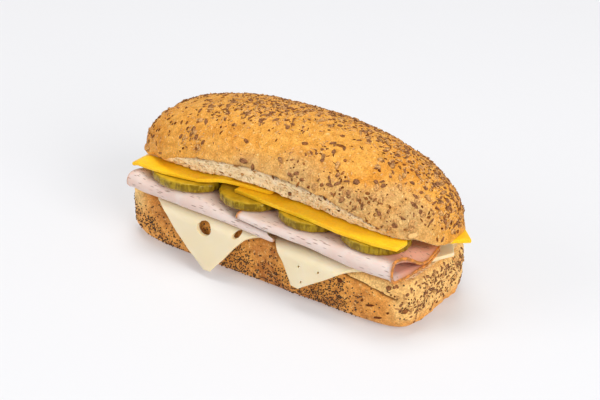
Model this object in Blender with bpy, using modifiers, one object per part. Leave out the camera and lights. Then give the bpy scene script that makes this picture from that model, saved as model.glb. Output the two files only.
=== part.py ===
"""A cold sandwich in a long multigrain roll: Swiss cheese, ham, pickles and cheddar between two bun halves.

Lengths are metres, +Z is up, the roll's long side lies along X and its opened side faces -Y.
"""

import math
import random

import bmesh
import bpy
from mathutils import Matrix, Vector, noise

MM = 0.001
GAP = 0.3 * MM  # air left between two pieces that touch

# Bottom bun: a shallow loaf half with a flat underside and a flat cut top.
BASE_LENGTH = 183.5 * MM
BASE_WIDTH = 74.5 * MM
BASE_HEIGHT = 29 * MM
BASE_CENTRE = Vector((-0.7 * MM, -1.3 * MM))
BASE_SQUARENESS_LEFT = 5
BASE_SQUARENESS_RIGHT = 8.5
BASE_SQUARENESS_BEHIND = 3.6
BASE_FOOT_ROUND = 10 * MM
BASE_RIM_ROUND = 3.5 * MM
BASE_LUMP_SIZE = 22 * MM
BASE_LUMP_HEIGHT = 0.9 * MM

# Where each stretch of the bottom bun's section ends, from the middle of its underside (0)
# to the middle of its top (1).
FLAT_ENDS = 0.2
FOOT_ENDS = 0.45
WALL_ENDS = 0.7
RIM_ENDS = 0.85

# Top bun: a domed half, set a little to the right of the bottom one and forward of it.
TOP_LENGTH = 186 * MM
TOP_WIDTH = 73 * MM
TOP_HEIGHT = 85.5 * MM
TOP_CENTRE = Vector((3 * MM, -3.5 * MM))
TOP_SQUARENESS_LEFT = 2.7
TOP_SQUARENESS_RIGHT = 2.3
TOP_DOME_POWER = 1.97
TOP_WIDEST_LEVEL = 50.5 * MM
TOP_RIM_LEVEL = 49 * MM
TOP_RIM_TUCK = 1 * MM
TOP_END_FLARE = 2.4 * MM
TOP_HOLLOW = 52.2 * MM  # level of the cut face over the fillings
TOP_LUMP_SIZE = 24 * MM
TOP_LUMP_HEIGHT = 1 * MM

# The same for the top bun's section, from the middle of its cut face (0) to its crown (1).
CUT_ENDS = 0.18
SIDE_ENDS = 0.42

# The top bun's lower edge: lifted where the cheddar slices cross, and drooping past its two ends.
RIM_LIFT = 2.8 * MM
RIM_LIFT_AT = -14 * MM
RIM_LIFT_REACH = 23 * MM
RIM_DROOP_LEFT = 2 * MM
RIM_DROOP_RIGHT = 3.6 * MM
RIM_DROOP_OVER_SLICE = 3.9 * MM  # at the right end, behind the corner of cheddar that pokes out

# The pale band of crumb that shows under the top crust, along the opened side.
BAND_START = -66 * MM
BAND_END = 73 * MM
BAND_HEIGHT = 16.5 * MM
BAND_FOOT_AT = 25.3 * MM  # distance of the band's foot from the bun's middle line
BAND_DEEPEST = 22 * MM  # where along the roll the foot is drawn in most
BAND_DEEPER = 3 * MM
BAND_RECESS = 1.4 * MM
LIP_ABOVE_RIM = 3.5 * MM  # least height of the crust's lower lip

# Swiss slices: squares laid corner to the edge, so that a corner hangs at each long side.
SWISS_THICK = 2.1 * MM
SWISS_FOLD_AT = 35.8 * MM
SWISS_BEND = 5 * MM
SWISS_HANG = math.radians(83)
SWISS_TIP_WIDTH = 3 * MM
SWISS_WAVE = 0.5 * MM

# Ham: each slice is folded into a flat roll whose open fold shows at the long sides.
HAM_THICK = 1.5 * MM
HAM_REACH = 42 * MM
HAM_PINCH = 1.0 * MM  # half the spacing of the two layers where they lie together
SEAM_HALF = 1.4 * MM
HAM_TOP = 40.4 * MM
HAM_STATIONS = (0, 0.06, 0.2, 0.4, 0.62, 0.82, 0.92, 0.965, 1)  # shares of a slice's length
HAM_ROWS = 22
FOLD_STARTS = 0.25  # shares of the way from the seam to the middle of the top layer
FOLD_ENDS = 0.75
LOOP_TOP_OPENS = 2.7 * MM  # how far the right end's open fold gapes above and below
LOOP_FLOOR_OPENS = 1.8 * MM
CREASE_LEVEL = 34.6 * MM  # where its two layers meet behind the open fold
CREASE_RISE = 3.2 * MM

# Pickle slices: oval rounds in two rows, one along each long side.
PICKLE_THICK = 5 * MM
PICKLE_DEPTH = 31 * MM
PICKLE_RIM = 0.8 * MM

# Cheddar: two overlapping slices along the roll, and a third whose corner pokes out of the right end.
CHEDDAR_THICK = 2 * MM
CHEDDAR_DROOP_LEFT = 1.2 * MM
CHEDDAR_DROOP_END = 3.6 * MM

FLAKE_SIDES = 5
FLAKE_THICK = 1.6 * MM

SWISS_LEVEL = BASE_HEIGHT + GAP + SWISS_THICK / 2
HAM_FLOOR = BASE_HEIGHT + GAP + SWISS_THICK + GAP
PICKLE_LEVEL = HAM_TOP + GAP + PICKLE_THICK / 2
CHEDDAR_LEVEL = HAM_TOP + GAP + PICKLE_THICK + GAP + CHEDDAR_THICK / 2


def clear_scene():
    for thing in list(bpy.data.objects):
        bpy.data.objects.remove(thing, do_unlink=True)


def make_material(name, colour, roughness):
    material = bpy.data.materials.new(name)
    material.use_nodes = True
    shader = material.node_tree.nodes["Principled BSDF"]
    shader.inputs["Base Color"].default_value = (*colour, 1.0)
    shader.inputs["Roughness"].default_value = roughness
    return material


def add_object(name, bm, material):
    """A scene object made from a finished bmesh, with its faces turned outward."""
    bmesh.ops.recalc_face_normals(bm, faces=bm.faces)
    mesh = bpy.data.meshes.new(name)
    bm.to_mesh(mesh)
    bm.free()
    mesh.materials.append(material)
    thing = bpy.data.objects.new(name, mesh)
    bpy.context.scene.collection.objects.link(thing)
    return thing


def apply_modifiers(thing):
    """Replaces the object's mesh by its evaluated one, so that no modifier is left."""
    graph = bpy.context.evaluated_depsgraph_get()
    mesh = bpy.data.meshes.new_from_object(thing.evaluated_get(graph))
    thing.modifiers.clear()
    thing.data = mesh


def smooth(value):
    """Eases 0..1 in and out."""
    value = min(max(value, 0.0), 1.0)
    return value * value * (3 - 2 * value)


def along_line(value, points):
    """Straight-line interpolation through (input, output) points given in rising order."""
    for (low, first), (high, second) in zip(points, points[1:]):
        if value <= high:
            share = min(max((value - low) / (high - low), 0.0), 1.0)
            return first + (second - first) * share
    return points[-1][1]


# ---------------------------------------------------------------- bun halves


def plan_point(angle, half_length, half_width, squareness):
    """A point on the rounded-rectangle outline that both bun halves share."""
    across = abs(math.cos(angle)) ** squareness + abs(math.sin(angle)) ** squareness
    radius = across ** (-1 / squareness)
    return Vector((half_length * radius * math.cos(angle), half_width * radius * math.sin(angle)))


def lumpy(point, size, height):
    """Slow unevenness of baked dough."""
    return height * noise.noise(point / size)


def base_surface(angle, rise):
    """The bottom bun's skin: rise runs from the middle of the underside (0) to the middle of the top (1)."""
    inset, level, share = base_section(rise)
    rightward = 0.5 + 0.5 * math.cos(angle)
    squareness = BASE_SQUARENESS_LEFT + (BASE_SQUARENESS_RIGHT - BASE_SQUARENESS_LEFT) * rightward
    squareness += (BASE_SQUARENESS_BEHIND - squareness) * smooth(2 * math.sin(angle))
    plan = plan_point(angle, BASE_LENGTH / 2 - inset, BASE_WIDTH / 2 - inset, squareness)
    on_wall = smooth(level / (6 * MM)) * smooth((BASE_HEIGHT - level) / (5 * MM))
    lump = lumpy(Vector((plan.x, plan.y, level)), BASE_LUMP_SIZE, BASE_LUMP_HEIGHT)
    swell = 1 + lump * on_wall / (BASE_WIDTH / 2)
    return Vector((plan.x * share * swell, plan.y * share * swell, level)) + BASE_CENTRE.to_3d()


def base_section(rise):
    """(inset from the widest outline, level, share of the outline) at one height of the bottom bun."""
    if rise <= FLAT_ENDS:
        return BASE_FOOT_ROUND, 0.0, rise / FLAT_ENDS
    if rise <= FOOT_ENDS:
        turn = (rise - FLAT_ENDS) / (FOOT_ENDS - FLAT_ENDS) * math.pi / 2
        return BASE_FOOT_ROUND * (1 - math.sin(turn)), BASE_FOOT_ROUND * (1 - math.cos(turn)), 1.0
    if rise <= WALL_ENDS:
        climb = (rise - FOOT_ENDS) / (WALL_ENDS - FOOT_ENDS)
        level = BASE_FOOT_ROUND + climb * (BASE_HEIGHT - BASE_RIM_ROUND - BASE_FOOT_ROUND)
        return 0.0, level, 1.0
    if rise <= RIM_ENDS:
        turn = (rise - WALL_ENDS) / (RIM_ENDS - WALL_ENDS) * math.pi / 2
        return BASE_RIM_ROUND * (1 - math.cos(turn)), BASE_HEIGHT - BASE_RIM_ROUND * (1 - math.sin(turn)), 1.0
    return BASE_RIM_ROUND, BASE_HEIGHT, max(1 - rise, 0) / (1 - RIM_ENDS)


def band_share(outline):
    """1 along the middle of the opened side, falling to 0 at the band's two ends and off that side."""
    middle = (BAND_START + BAND_END) / 2
    along = (outline.x - middle) / ((BAND_END - BAND_START) / 2)
    opened = smooth(-outline.y / (TOP_WIDTH / 2) * 4 - 1)
    return opened * max(1 - along * along, 0.0) ** (0.6 if along < 0 else 0.8)


def rim_level(outline):
    """Level of the top bun's lower edge: lifted over the crossing cheddar, drooping at the two ends."""
    crossed = RIM_LIFT * math.exp(-(((outline.x - RIM_LIFT_AT) / RIM_LIFT_REACH) ** 4))
    drooped_left = RIM_DROOP_LEFT * smooth((-outline.x - 80 * MM) / (10 * MM))
    over_slice = smooth((outline.y + 16 * MM) / (8 * MM))
    droop = RIM_DROOP_RIGHT + (RIM_DROOP_OVER_SLICE - RIM_DROOP_RIGHT) * over_slice
    drooped_right = droop * smooth((outline.x - 82 * MM) / (8 * MM))
    return TOP_RIM_LEVEL + crossed - drooped_left - drooped_right


def band_foot(outline):
    """How far forward the top bun's lower edge may reach at this place on the opened side."""
    deeper = BAND_DEEPER * math.exp(-(((outline.x - BAND_DEEPEST) / (20 * MM)) ** 2))
    return BAND_FOOT_AT - deeper


def dome_turn(level):
    """Angle along the dome's quarter curve at which it reaches the given level."""
    height = max(level - TOP_WIDEST_LEVEL, 0) / (TOP_HEIGHT - TOP_WIDEST_LEVEL)
    return math.asin(min(height ** (TOP_DOME_POWER / 2), 1.0))


def dome_section(turn):
    """(share of the outline, level) on the dome."""
    share = max(math.cos(turn), 0.0) ** (2 / TOP_DOME_POWER)
    lift = max(math.sin(turn), 0.0) ** (2 / TOP_DOME_POWER)
    return share, TOP_WIDEST_LEVEL + (TOP_HEIGHT - TOP_WIDEST_LEVEL) * lift


def top_plan(angle, inset):
    """The top bun's outline in plan, drawn in by the inset; its left end is squarer than its right."""
    rightward = 0.5 + 0.5 * math.cos(angle)
    squareness = TOP_SQUARENESS_LEFT + (TOP_SQUARENESS_RIGHT - TOP_SQUARENESS_LEFT) * rightward
    return plan_point(angle, TOP_LENGTH / 2 - inset, TOP_WIDTH / 2 - inset, squareness)


def top_surface(angle, rise):
    """The top bun's skin: rise runs from the middle of the cut face (0) to the crown (1)."""
    outline = top_plan(angle, 0)
    band = band_share(outline)
    rim = rim_level(outline)
    flare = TOP_END_FLARE * smooth((abs(outline.x) - 66 * MM) / (14 * MM))
    lip_level = max(rim + LIP_ABOVE_RIM, TOP_RIM_LEVEL + BAND_HEIGHT * band)
    lip_turn = dome_turn(lip_level)
    lip_share, _ = dome_section(lip_turn)
    rim_point = top_plan(angle, TOP_RIM_TUCK - flare)
    rim_point.y = max(rim_point.y, -band_foot(outline))
    if rise <= CUT_ENDS:
        share = rise / CUT_ENDS
        level = TOP_HOLLOW + (rim - TOP_HOLLOW) * smooth((share - 0.8) / 0.12)
        point = Vector((rim_point.x * share, rim_point.y * share, level))
    elif rise <= SIDE_ENDS:
        climb = (rise - CUT_ENDS) / (SIDE_ENDS - CUT_ENDS)
        point = top_side(rim_point, rim, outline * lip_share, lip_level, band, climb)
    else:
        turn = lip_turn + (math.pi / 2 - lip_turn) * (rise - SIDE_ENDS) / (1 - SIDE_ENDS)
        share, level = dome_section(turn)
        point = Vector((outline.x * share, outline.y * share, level))
    bulge = lumpy(point, TOP_LUMP_SIZE, TOP_LUMP_HEIGHT) * smooth((rise - 0.2) / 0.15)
    outward = Vector((outline.x / TOP_LENGTH, outline.y / TOP_WIDTH, 0.4 * (rise > 0.5)))
    return point + outward.normalized() * bulge + TOP_CENTRE.to_3d()


def top_side(rim_point, rim, lip_point, lip_level, band, climb):
    """Between the rim and the lip: a rounded crust, or the drawn-in crumb band on the opened side."""
    crust = math.sin(climb * math.pi / 2)
    crumb = climb * 0.9
    share = crust + (crumb - crust) * min(band * 3, 1)
    notch = BAND_RECESS * min(band * 3, 1) * smooth(climb * 4) * smooth((0.97 - climb) * 12)
    flat = rim_point.lerp(lip_point, share)
    flat -= flat.normalized() * notch
    return Vector((flat.x, flat.y, rim + (lip_level - rim) * climb))


def bun_half(name, surface, segments, rings, material):
    """A ball whose points are moved onto the given skin."""
    bm = bmesh.new()
    bmesh.ops.create_uvsphere(bm, u_segments=segments, v_segments=rings, radius=1)
    for vert in bm.verts:
        rise = 1 - math.acos(max(-1.0, min(1.0, vert.co.z))) / math.pi
        vert.co = surface(math.atan2(vert.co.y, vert.co.x), rise)
    bmesh.ops.triangulate(bm, faces=bm.faces)
    return add_object(name, bm, material)


def skin_frame(surface, angle, rise):
    """A point of the skin and the rotation that lays a flake flat on it."""
    step = 0.01
    here = surface(angle, rise)
    around = surface(angle + step, rise) - here
    upward = surface(angle, rise + step) - here
    outward = around.cross(upward).normalized()
    return here, outward.to_track_quat("Z", "Y").to_matrix()


def scatter_flakes(surface, count, size_range, spots, draw, spacing):
    """Flat grain flakes laid on a skin at drawn spots, kept apart from one another."""
    placed = []
    flakes = []
    while len(placed) < count:
        angle, rise = spots(draw)
        here, turned = skin_frame(surface, angle, rise)
        if any((here - other).length < spacing for other in placed):
            continue
        placed.append(here)
        flakes.append(make_flake(here, turned, draw.uniform(*size_range), draw))
    return flakes


def make_flake(here, turned, length, draw):
    """One flake: a five-sided chip, half sunk in the crust and slightly tipped."""
    bm = bmesh.new()
    bmesh.ops.create_cone(bm, cap_ends=True, segments=FLAKE_SIDES, radius1=0.5, radius2=0.4, depth=1)
    width = length * draw.uniform(0.45, 0.7)
    tip = Matrix.Rotation(draw.uniform(-0.2, 0.2), 3, "X")
    tip = tip @ Matrix.Rotation(draw.uniform(0, math.tau), 3, "Z")
    shape = Matrix.Diagonal((length, width, FLAKE_THICK))
    for vert in bm.verts:
        vert.co = here + turned @ (tip @ (shape @ vert.co))
    return add_object("flake", bm, bpy.data.materials["grain_flake"])


def fuse(body, pieces):
    """Joins the pieces to the body by one union, and removes them."""
    group = bpy.data.collections.new("toppings")
    bpy.context.scene.collection.children.link(group)
    for piece in pieces:
        bpy.context.scene.collection.objects.unlink(piece)
        group.objects.link(piece)
    union = body.modifiers.new("toppings", "BOOLEAN")
    union.operation = "UNION"
    union.operand_type = "COLLECTION"
    union.collection = group
    union.solver = "EXACT"
    bpy.context.view_layer.update()
    apply_modifiers(body)
    for piece in pieces:
        bpy.data.objects.remove(piece, do_unlink=True)
    bpy.data.collections.remove(group)


def base_spots(draw):
    """Flakes of the bottom bun: round its wall, thickest at the right end and near the foot."""
    while True:
        angle = draw.uniform(0, math.tau)
        rise = draw.uniform(0.34, 0.66)
        at_end = smooth(abs(math.cos(angle)) * 2 - 0.9)
        if draw.random() < 0.35 + 0.65 * at_end:
            return angle, rise


def top_spots(draw):
    """Flakes of the top bun: all over the crust, thickest along the crown, the back and the right end."""
    while True:
        angle = draw.uniform(0, math.tau)
        rise = draw.uniform(0.42, 0.97)
        behind = smooth(0.5 + math.sin(angle))
        rightward = smooth(math.cos(angle))
        crown = smooth((rise - 0.6) / 0.3)
        shrink = math.cos(max(rise - 0.52, 0) / 0.48 * math.pi / 2) + 0.05
        if draw.random() < (0.3 + 0.25 * behind + 0.2 * rightward + 0.25 * crown) * shrink:
            return angle, rise


def build_buns():
    crust = make_material("toasted_crust", (0.60, 0.33, 0.10), 0.75)
    make_material("grain_flake", (0.25, 0.13, 0.06), 0.8)
    draw = random.Random(11)
    base = bun_half("bottom_bun", base_surface, 56, 20, crust)
    fuse(base, scatter_flakes(base_surface, 36, (2.6 * MM, 4.2 * MM), base_spots, draw, 7 * MM))
    top = bun_half("top_bun", top_surface, 56, 26, crust)
    fuse(top, scatter_flakes(top_surface, 101, (3.0 * MM, 5.2 * MM), top_spots, draw, 6 * MM))


# ---------------------------------------------------------------- sheets


def sheet(name, columns, rows, place, thickness, material):
    """A thin slice: a grid whose points are put by place(s, t), each 0..1, then thickened."""
    bm = bmesh.new()
    bmesh.ops.create_grid(bm, x_segments=columns, y_segments=rows, size=0.5)
    for vert in bm.verts:
        vert.co = place(vert.co.x + 0.5, vert.co.y + 0.5)
    bmesh.ops.triangulate(bm, faces=bm.faces)
    thing = add_object(name, bm, material)
    wall = thing.modifiers.new("thickness", "SOLIDIFY")
    wall.thickness = thickness
    wall.offset = 0
    return thing


def hang_over_edge(along, across, level):
    """Where a point of a flat slice goes once the slice bends down over a long side of the roll."""
    side = math.copysign(1, across)
    beyond = max(abs(across) - SWISS_FOLD_AT, 0)
    turned = min(beyond / SWISS_BEND, SWISS_HANG)
    past = max(beyond - SWISS_BEND * SWISS_HANG, 0)
    out = SWISS_BEND * math.sin(turned) + past * math.cos(SWISS_HANG)
    down = SWISS_BEND * (1 - math.cos(turned)) + past * math.sin(SWISS_HANG)
    lying = min(abs(across), SWISS_FOLD_AT)
    return Vector((along, BASE_CENTRE.y + side * (lying + out), level - down))


def swiss_stations(front, back):
    """Distances across the slice at which its rows lie: close together where it bends."""
    flat_end = SWISS_FOLD_AT
    bend_end = flat_end + SWISS_BEND * SWISS_HANG
    bend = [flat_end + (bend_end - flat_end) * k / 3 for k in (1, 2, 3)]
    half = [0, 0.55 * flat_end, flat_end] + bend
    before = [-v for v in half[1:]] + [-bend_end - (front - bend_end) * k / 4 for k in (1, 2, 3, 4)]
    after = half + [bend_end + (back - bend_end) * k / 4 for k in (1, 2, 3, 4)]
    return sorted(before) + after


def swiss_slice(name, left_edge, right_edge, material):
    """A slice whose two side edges are (across, along) corner points from the front tip to the back tip."""
    stations = swiss_stations(-left_edge[0][0], left_edge[-1][0])

    def place(s, t):
        across = stations[round(t * (len(stations) - 1))]
        low = along_line(across, left_edge)
        high = max(along_line(across, right_edge), low + SWISS_TIP_WIDTH)
        hanging = smooth((abs(across) - SWISS_FOLD_AT) / (20 * MM))
        wave = SWISS_WAVE * math.sin(low / (9 * MM) + s * 3) * hanging
        point = hang_over_edge(low + (high - low) * s, across, SWISS_LEVEL)
        return point + Vector((0, wave, 0))

    return sheet(name, 6, len(stations) - 1, place, SWISS_THICK, material)


def punch(thing, holes):
    """Cuts oval eyes through a hanging corner: each hole is (x, z, length, height, tilt, side)."""
    for x, z, length, height, tilt, side in holes:
        bm = bmesh.new()
        bmesh.ops.create_cone(bm, cap_ends=True, segments=14, radius1=0.5, radius2=0.5, depth=1)
        shape = Matrix.Rotation(tilt, 3, "Y") @ Matrix.Diagonal((length, 12 * MM, height))
        for vert in bm.verts:
            upright = Vector((vert.co.x, vert.co.z, vert.co.y))
            vert.co = Vector((x, side * 43 * MM, z)) + shape @ upright
        cutter = add_object("eye", bm, thing.data.materials[0])
        cut = thing.modifiers.new("eye", "BOOLEAN")
        cut.operation = "DIFFERENCE"
        cut.solver = "EXACT"
        cut.object = cutter
        bpy.context.view_layer.update()
        apply_modifiers(thing)
        bpy.data.objects.remove(cutter, do_unlink=True)


def build_swiss():
    swiss = make_material("swiss_cheese", (0.90, 0.80, 0.52), 0.45)
    left = swiss_slice(
        "swiss_slice_left",
        [(-65.4 * MM, -27 * MM), (-58 * MM, -38.6 * MM), (-50 * MM, -47.4 * MM), (-43 * MM, -53.6 * MM),
         (-36 * MM, -64 * MM), (0, -86 * MM), (36 * MM, -54 * MM), (62 * MM, -24 * MM)],
        [(-65.4 * MM, -23.4 * MM), (-57 * MM, -15.8 * MM), (-48.5 * MM, -9.2 * MM), (-42 * MM, -3 * MM),
         (-36 * MM, 6 * MM), (36 * MM, 6 * MM), (62 * MM, -20 * MM)],
        swiss,
    )
    punch(left, [
        (-28.2 * MM, 25.8 * MM, 8 * MM, 8.4 * MM, 0.2, -1),
        (-8 * MM, 28.4 * MM, 6.4 * MM, 3.2 * MM, -0.65, -1),
        (-14 * MM, 17 * MM, 6 * MM, 5.4 * MM, 0.3, 1),
    ])
    swiss_slice(
        "swiss_slice_right",
        [(-56.4 * MM, 28 * MM), (-44.8 * MM, 21 * MM), (-41 * MM, 17.4 * MM), (-36 * MM, 13 * MM),
         (-20 * MM, 9 * MM), (36 * MM, 26 * MM), (60 * MM, 50 * MM)],
        [(-56.4 * MM, 32 * MM), (-53.4 * MM, 37 * MM), (-47.6 * MM, 46.8 * MM), (-40.5 * MM, 57.4 * MM),
         (-36 * MM, 64 * MM), (-24 * MM, 79 * MM), (-10 * MM, 85.8 * MM), (4.5 * MM, 92.3 * MM),
         (36 * MM, 70 * MM), (60 * MM, 53 * MM)],
        swiss,
    )


# ---------------------------------------------------------------- ham


def ham_path(turn, low, high, reach):
    """(y, z, height) round a flattened roll of ham; height is -1 on its floor layer and 1 on its top layer.

    turn runs -1..1 from the seam beneath, round one fold, over the top, round the other fold and back.
    """
    middle = (low + high) / 2
    radius = (high - low) / 2
    straight = reach - radius
    side = math.copysign(1, turn)
    way = 1 - abs(turn)
    if FOLD_STARTS <= way <= FOLD_ENDS:
        height = -math.cos((way - FOLD_STARTS) / (FOLD_ENDS - FOLD_STARTS) * math.pi)
        y = straight + radius * math.sqrt(max(1 - height * height, 0))
        return side * y, middle + radius * height, height
    below = way < FOLD_STARTS
    if below:
        y = SEAM_HALF + (straight - SEAM_HALF) * way / FOLD_STARTS
    else:
        y = straight * (1 - way) / (1 - FOLD_ENDS)
    pinched = HAM_PINCH + max(radius - HAM_PINCH, 0) * smooth((y - 6 * MM) / (16 * MM))
    return (side * y, middle - pinched, -1) if below else (side * y, middle + pinched, 1)


def end_loop(share, y, z, height):
    """Level of a point near the ham's right end: the front fold gapes, and its layers meet behind."""
    opens = LOOP_TOP_OPENS if height > 0 else LOOP_FLOOR_OPENS
    last_but_one = HAM_STATIONS[-2]
    gaping = z + height * opens * smooth((share - last_but_one) / (1 - last_but_one))
    crease = CREASE_LEVEL + CREASE_RISE * smooth((y + 21 * MM) / (13 * MM))
    joined = smooth((y + 33 * MM) / (12 * MM))
    shut = crease + math.copysign(HAM_PINCH, height)
    near_end = smooth((share - 0.9) / 0.1) * smooth((2 * MM - y) / (8 * MM))
    return z + (gaping + (shut - gaping) * joined - z) * near_end


def ham_slice(name, left_end, right_end, low_line, high_line, looped, material):
    """A folded slice between left_end(y) and right_end(y); the two lines give its levels along x."""
    reach = HAM_REACH - HAM_THICK / 2

    def place(s, t):
        turn = 2 * t - 1
        share = HAM_STATIONS[round(s * (len(HAM_STATIONS) - 1))]
        nominal, _, _ = ham_path(turn, HAM_FLOOR, HAM_TOP, reach)
        x = left_end(nominal) * (1 - share) + right_end(nominal) * share
        low = along_line(x, low_line) + HAM_THICK / 2
        high = along_line(x, high_line) - HAM_THICK / 2
        y, z, height = ham_path(turn, low, high, reach + 0.4 * MM * math.sin(x / (8 * MM)))
        z -= 0.7 * MM * smooth((abs(y) - 40 * MM) / (2 * MM))
        return Vector((x, y, end_loop(share, y, z, height) if looped else z))

    return sheet(name, len(HAM_STATIONS) - 1, HAM_ROWS, place, HAM_THICK, material)


def build_ham():
    ham = make_material("sliced_ham", (0.88, 0.62, 0.55), 0.5)

    def left_tip(y):
        return -75 * MM - 6.5 * MM * smooth((-y - 28 * MM) / (14 * MM)) + 6 * MM * smooth(y / (30 * MM))

    def left_inner(y):
        point = 4 * MM * smooth((-y - 38 * MM) / (4 * MM))
        return 6 * MM + 6 * MM * smooth((-y - 30 * MM) / (10 * MM)) + point

    def right_inner(y):
        return -9 * MM

    def right_loop(y):
        further = 6 * MM * smooth((y + 38 * MM) / (22 * MM))
        return 84 * MM + further - 27 * MM * smooth((y + 9 * MM) / (22 * MM))

    ham_slice(
        "ham_slice_left",
        left_tip,
        left_inner,
        [(-90 * MM, HAM_FLOOR + 1.6 * MM), (-74 * MM, HAM_FLOOR), (10 * MM, HAM_FLOOR)],
        [(-90 * MM, HAM_TOP - 2 * MM), (-76 * MM, HAM_TOP), (-32 * MM, HAM_TOP),
         (-12 * MM, HAM_FLOOR + 4.8 * MM), (12 * MM, HAM_FLOOR + 3.5 * MM)],
        False,
        ham,
    )
    ham_slice(
        "ham_slice_right",
        right_inner,
        right_loop,
        [(-9 * MM, HAM_TOP - 3.3 * MM), (6 * MM, HAM_TOP - 3.6 * MM), (20 * MM, HAM_FLOOR + 4 * MM),
         (60 * MM, HAM_FLOOR)],
        [(-9 * MM, HAM_TOP), (90 * MM, HAM_TOP)],
        True,
        ham,
    )


# ---------------------------------------------------------------- pickles and cheddar


def pickle_slice(name, centre, length, depth, tilt, material):
    """An oval round with a softened rim."""
    bm = bmesh.new()
    bmesh.ops.create_cone(bm, cap_ends=True, segments=18, radius1=0.5, radius2=0.5, depth=1)
    shape = Matrix.Diagonal((length, depth, PICKLE_THICK))
    for vert in bm.verts:
        flat = shape @ vert.co
        wobble = 1 + 0.025 * math.sin(5 * math.atan2(flat.y, flat.x) + length / MM)
        vert.co = centre + Matrix.Rotation(tilt, 3, "Z") @ Vector((flat.x * wobble, flat.y * wobble, flat.z))
    thing = add_object(name, bm, material)
    rim = thing.modifiers.new("rim", "BEVEL")
    rim.width = PICKLE_RIM
    rim.segments = 1
    rim.limit_method = "ANGLE"
    return thing


def build_pickles():
    pickle = make_material("pickle", (0.36, 0.36, 0.05), 0.3)
    rounds = (
        (-52.5 * MM, -26.6 * MM, 44.2 * MM, 0.03),
        (-11.6 * MM, -24 * MM, 36 * MM, -0.03),
        (25.7 * MM, -23.4 * MM, 36.6 * MM, 0.04),
        (63.7 * MM, -23.6 * MM, 37.2 * MM, -0.02),
    )
    for row, side in (("front", 1), ("back", -1)):
        for number, (x, y, length, tilt) in enumerate(rounds, start=1):
            centre = Vector((side * x, side * y, PICKLE_LEVEL))
            pickle_slice(f"pickle_{row}_{number}", centre, length, PICKLE_DEPTH, tilt, pickle)


def cheddar_slice(name, columns, rows, left_edge, right_edge, level, material):
    """A slice with grid rows at the listed y; its side edges are (y, x) corner points, front to back."""

    def place(s, t):
        y = rows[round(t * (len(rows) - 1))] * MM
        left = along_line(y, left_edge)
        right = max(along_line(y, right_edge), left + 2 * MM)
        x = left + (right - left) * s
        return Vector((x, y, level(x, y)))

    return sheet(name, columns, len(rows) - 1, place, CHEDDAR_THICK, material)


def build_cheddar():
    cheddar = make_material("cheddar", (0.95, 0.58, 0.05), 0.4)
    stacked = CHEDDAR_THICK + GAP

    def left_level(x, y):
        crossing = smooth((x + 40 * MM) / (14 * MM))
        drooped = CHEDDAR_DROOP_LEFT * smooth((-x - 76 * MM) / (5 * MM))
        return CHEDDAR_LEVEL + stacked * crossing - drooped

    def right_level(x, y):
        over_end = smooth((x - 50 * MM) / (14 * MM)) * smooth((23 * MM - abs(y)) / (9 * MM))
        return CHEDDAR_LEVEL + stacked * over_end

    def end_level(x, y):
        return CHEDDAR_LEVEL - CHEDDAR_DROOP_END * smooth((x - 78 * MM) / (12 * MM))

    cheddar_slice(
        "cheddar_slice_left",
        11,
        (-38.4, -36.8, -34, -29.5, -27.5, -14, 2, 18, 34),
        [(-38.4 * MM, -80 * MM), (-20 * MM, -80 * MM), (34 * MM, -68 * MM)],
        [(-38.4 * MM, -60 * MM), (-36.8 * MM, -50 * MM), (-34 * MM, -34 * MM), (-29.5 * MM, -20 * MM),
         (-27.5 * MM, 3 * MM), (34 * MM, 5 * MM)],
        left_level,
        cheddar,
    )
    cheddar_slice(
        "cheddar_slice_right",
        7,
        (-37.4, -35.4, -32.4, -27, -18, -5, 8, 21, 34),
        [(-37.4 * MM, 50 * MM), (-35.4 * MM, 37 * MM), (-32.4 * MM, -16.5 * MM), (34 * MM, -14 * MM)],
        [(-37.4 * MM, 70 * MM), (-35.4 * MM, 83.5 * MM), (-27 * MM, 84 * MM), (-18 * MM, 77 * MM),
         (34 * MM, 62 * MM)],
        right_level,
        cheddar,
    )
    cheddar_slice(
        "cheddar_slice_end",
        5,
        (-12.5, -9, -5, -1, 3, 8, 14),
        [(-12.5 * MM, 88 * MM), (-1 * MM, 68 * MM), (14 * MM, 80 * MM)],
        [(-12.5 * MM, 90.5 * MM), (-1 * MM, 104 * MM), (14 * MM, 88 * MM)],
        end_level,
        cheddar,
    )


clear_scene()
build_buns()
build_swiss()
build_ham()
build_pickles()
build_cheddar()
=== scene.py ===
"""Looks of a multigrain roll sandwich: crust, crumb, grain flakes, poppy seeds, cheese, ham and pickles.

Lengths are metres, +Z is up, the roll lies along X and its opened side faces -Y.
"""

import math

import bmesh
import bpy
from mathutils import Matrix, Vector, noise


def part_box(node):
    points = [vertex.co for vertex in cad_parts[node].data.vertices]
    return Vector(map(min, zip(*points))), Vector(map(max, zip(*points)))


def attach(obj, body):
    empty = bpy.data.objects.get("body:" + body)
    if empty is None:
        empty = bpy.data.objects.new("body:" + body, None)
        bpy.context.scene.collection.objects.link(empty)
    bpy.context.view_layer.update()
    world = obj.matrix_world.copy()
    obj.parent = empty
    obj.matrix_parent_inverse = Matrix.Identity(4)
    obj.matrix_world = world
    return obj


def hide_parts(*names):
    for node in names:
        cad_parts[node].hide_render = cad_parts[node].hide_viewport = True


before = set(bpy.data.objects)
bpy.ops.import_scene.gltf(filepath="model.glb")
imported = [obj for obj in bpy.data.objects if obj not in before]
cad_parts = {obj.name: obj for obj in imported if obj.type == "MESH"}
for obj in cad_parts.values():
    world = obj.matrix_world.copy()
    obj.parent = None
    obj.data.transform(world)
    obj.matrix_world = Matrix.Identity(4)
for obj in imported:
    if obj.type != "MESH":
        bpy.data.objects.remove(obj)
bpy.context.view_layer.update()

bl_info = {
    "name": "Multigrain sandwich",
    "version": (1, 0, 0),
    "blender": (4, 5, 0),
    "location": "3D View > Sidebar > Sandwich",
    "description": "Builds the bread, fillings and seeds of a long multigrain sandwich",
    "category": "Object",
}

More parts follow.
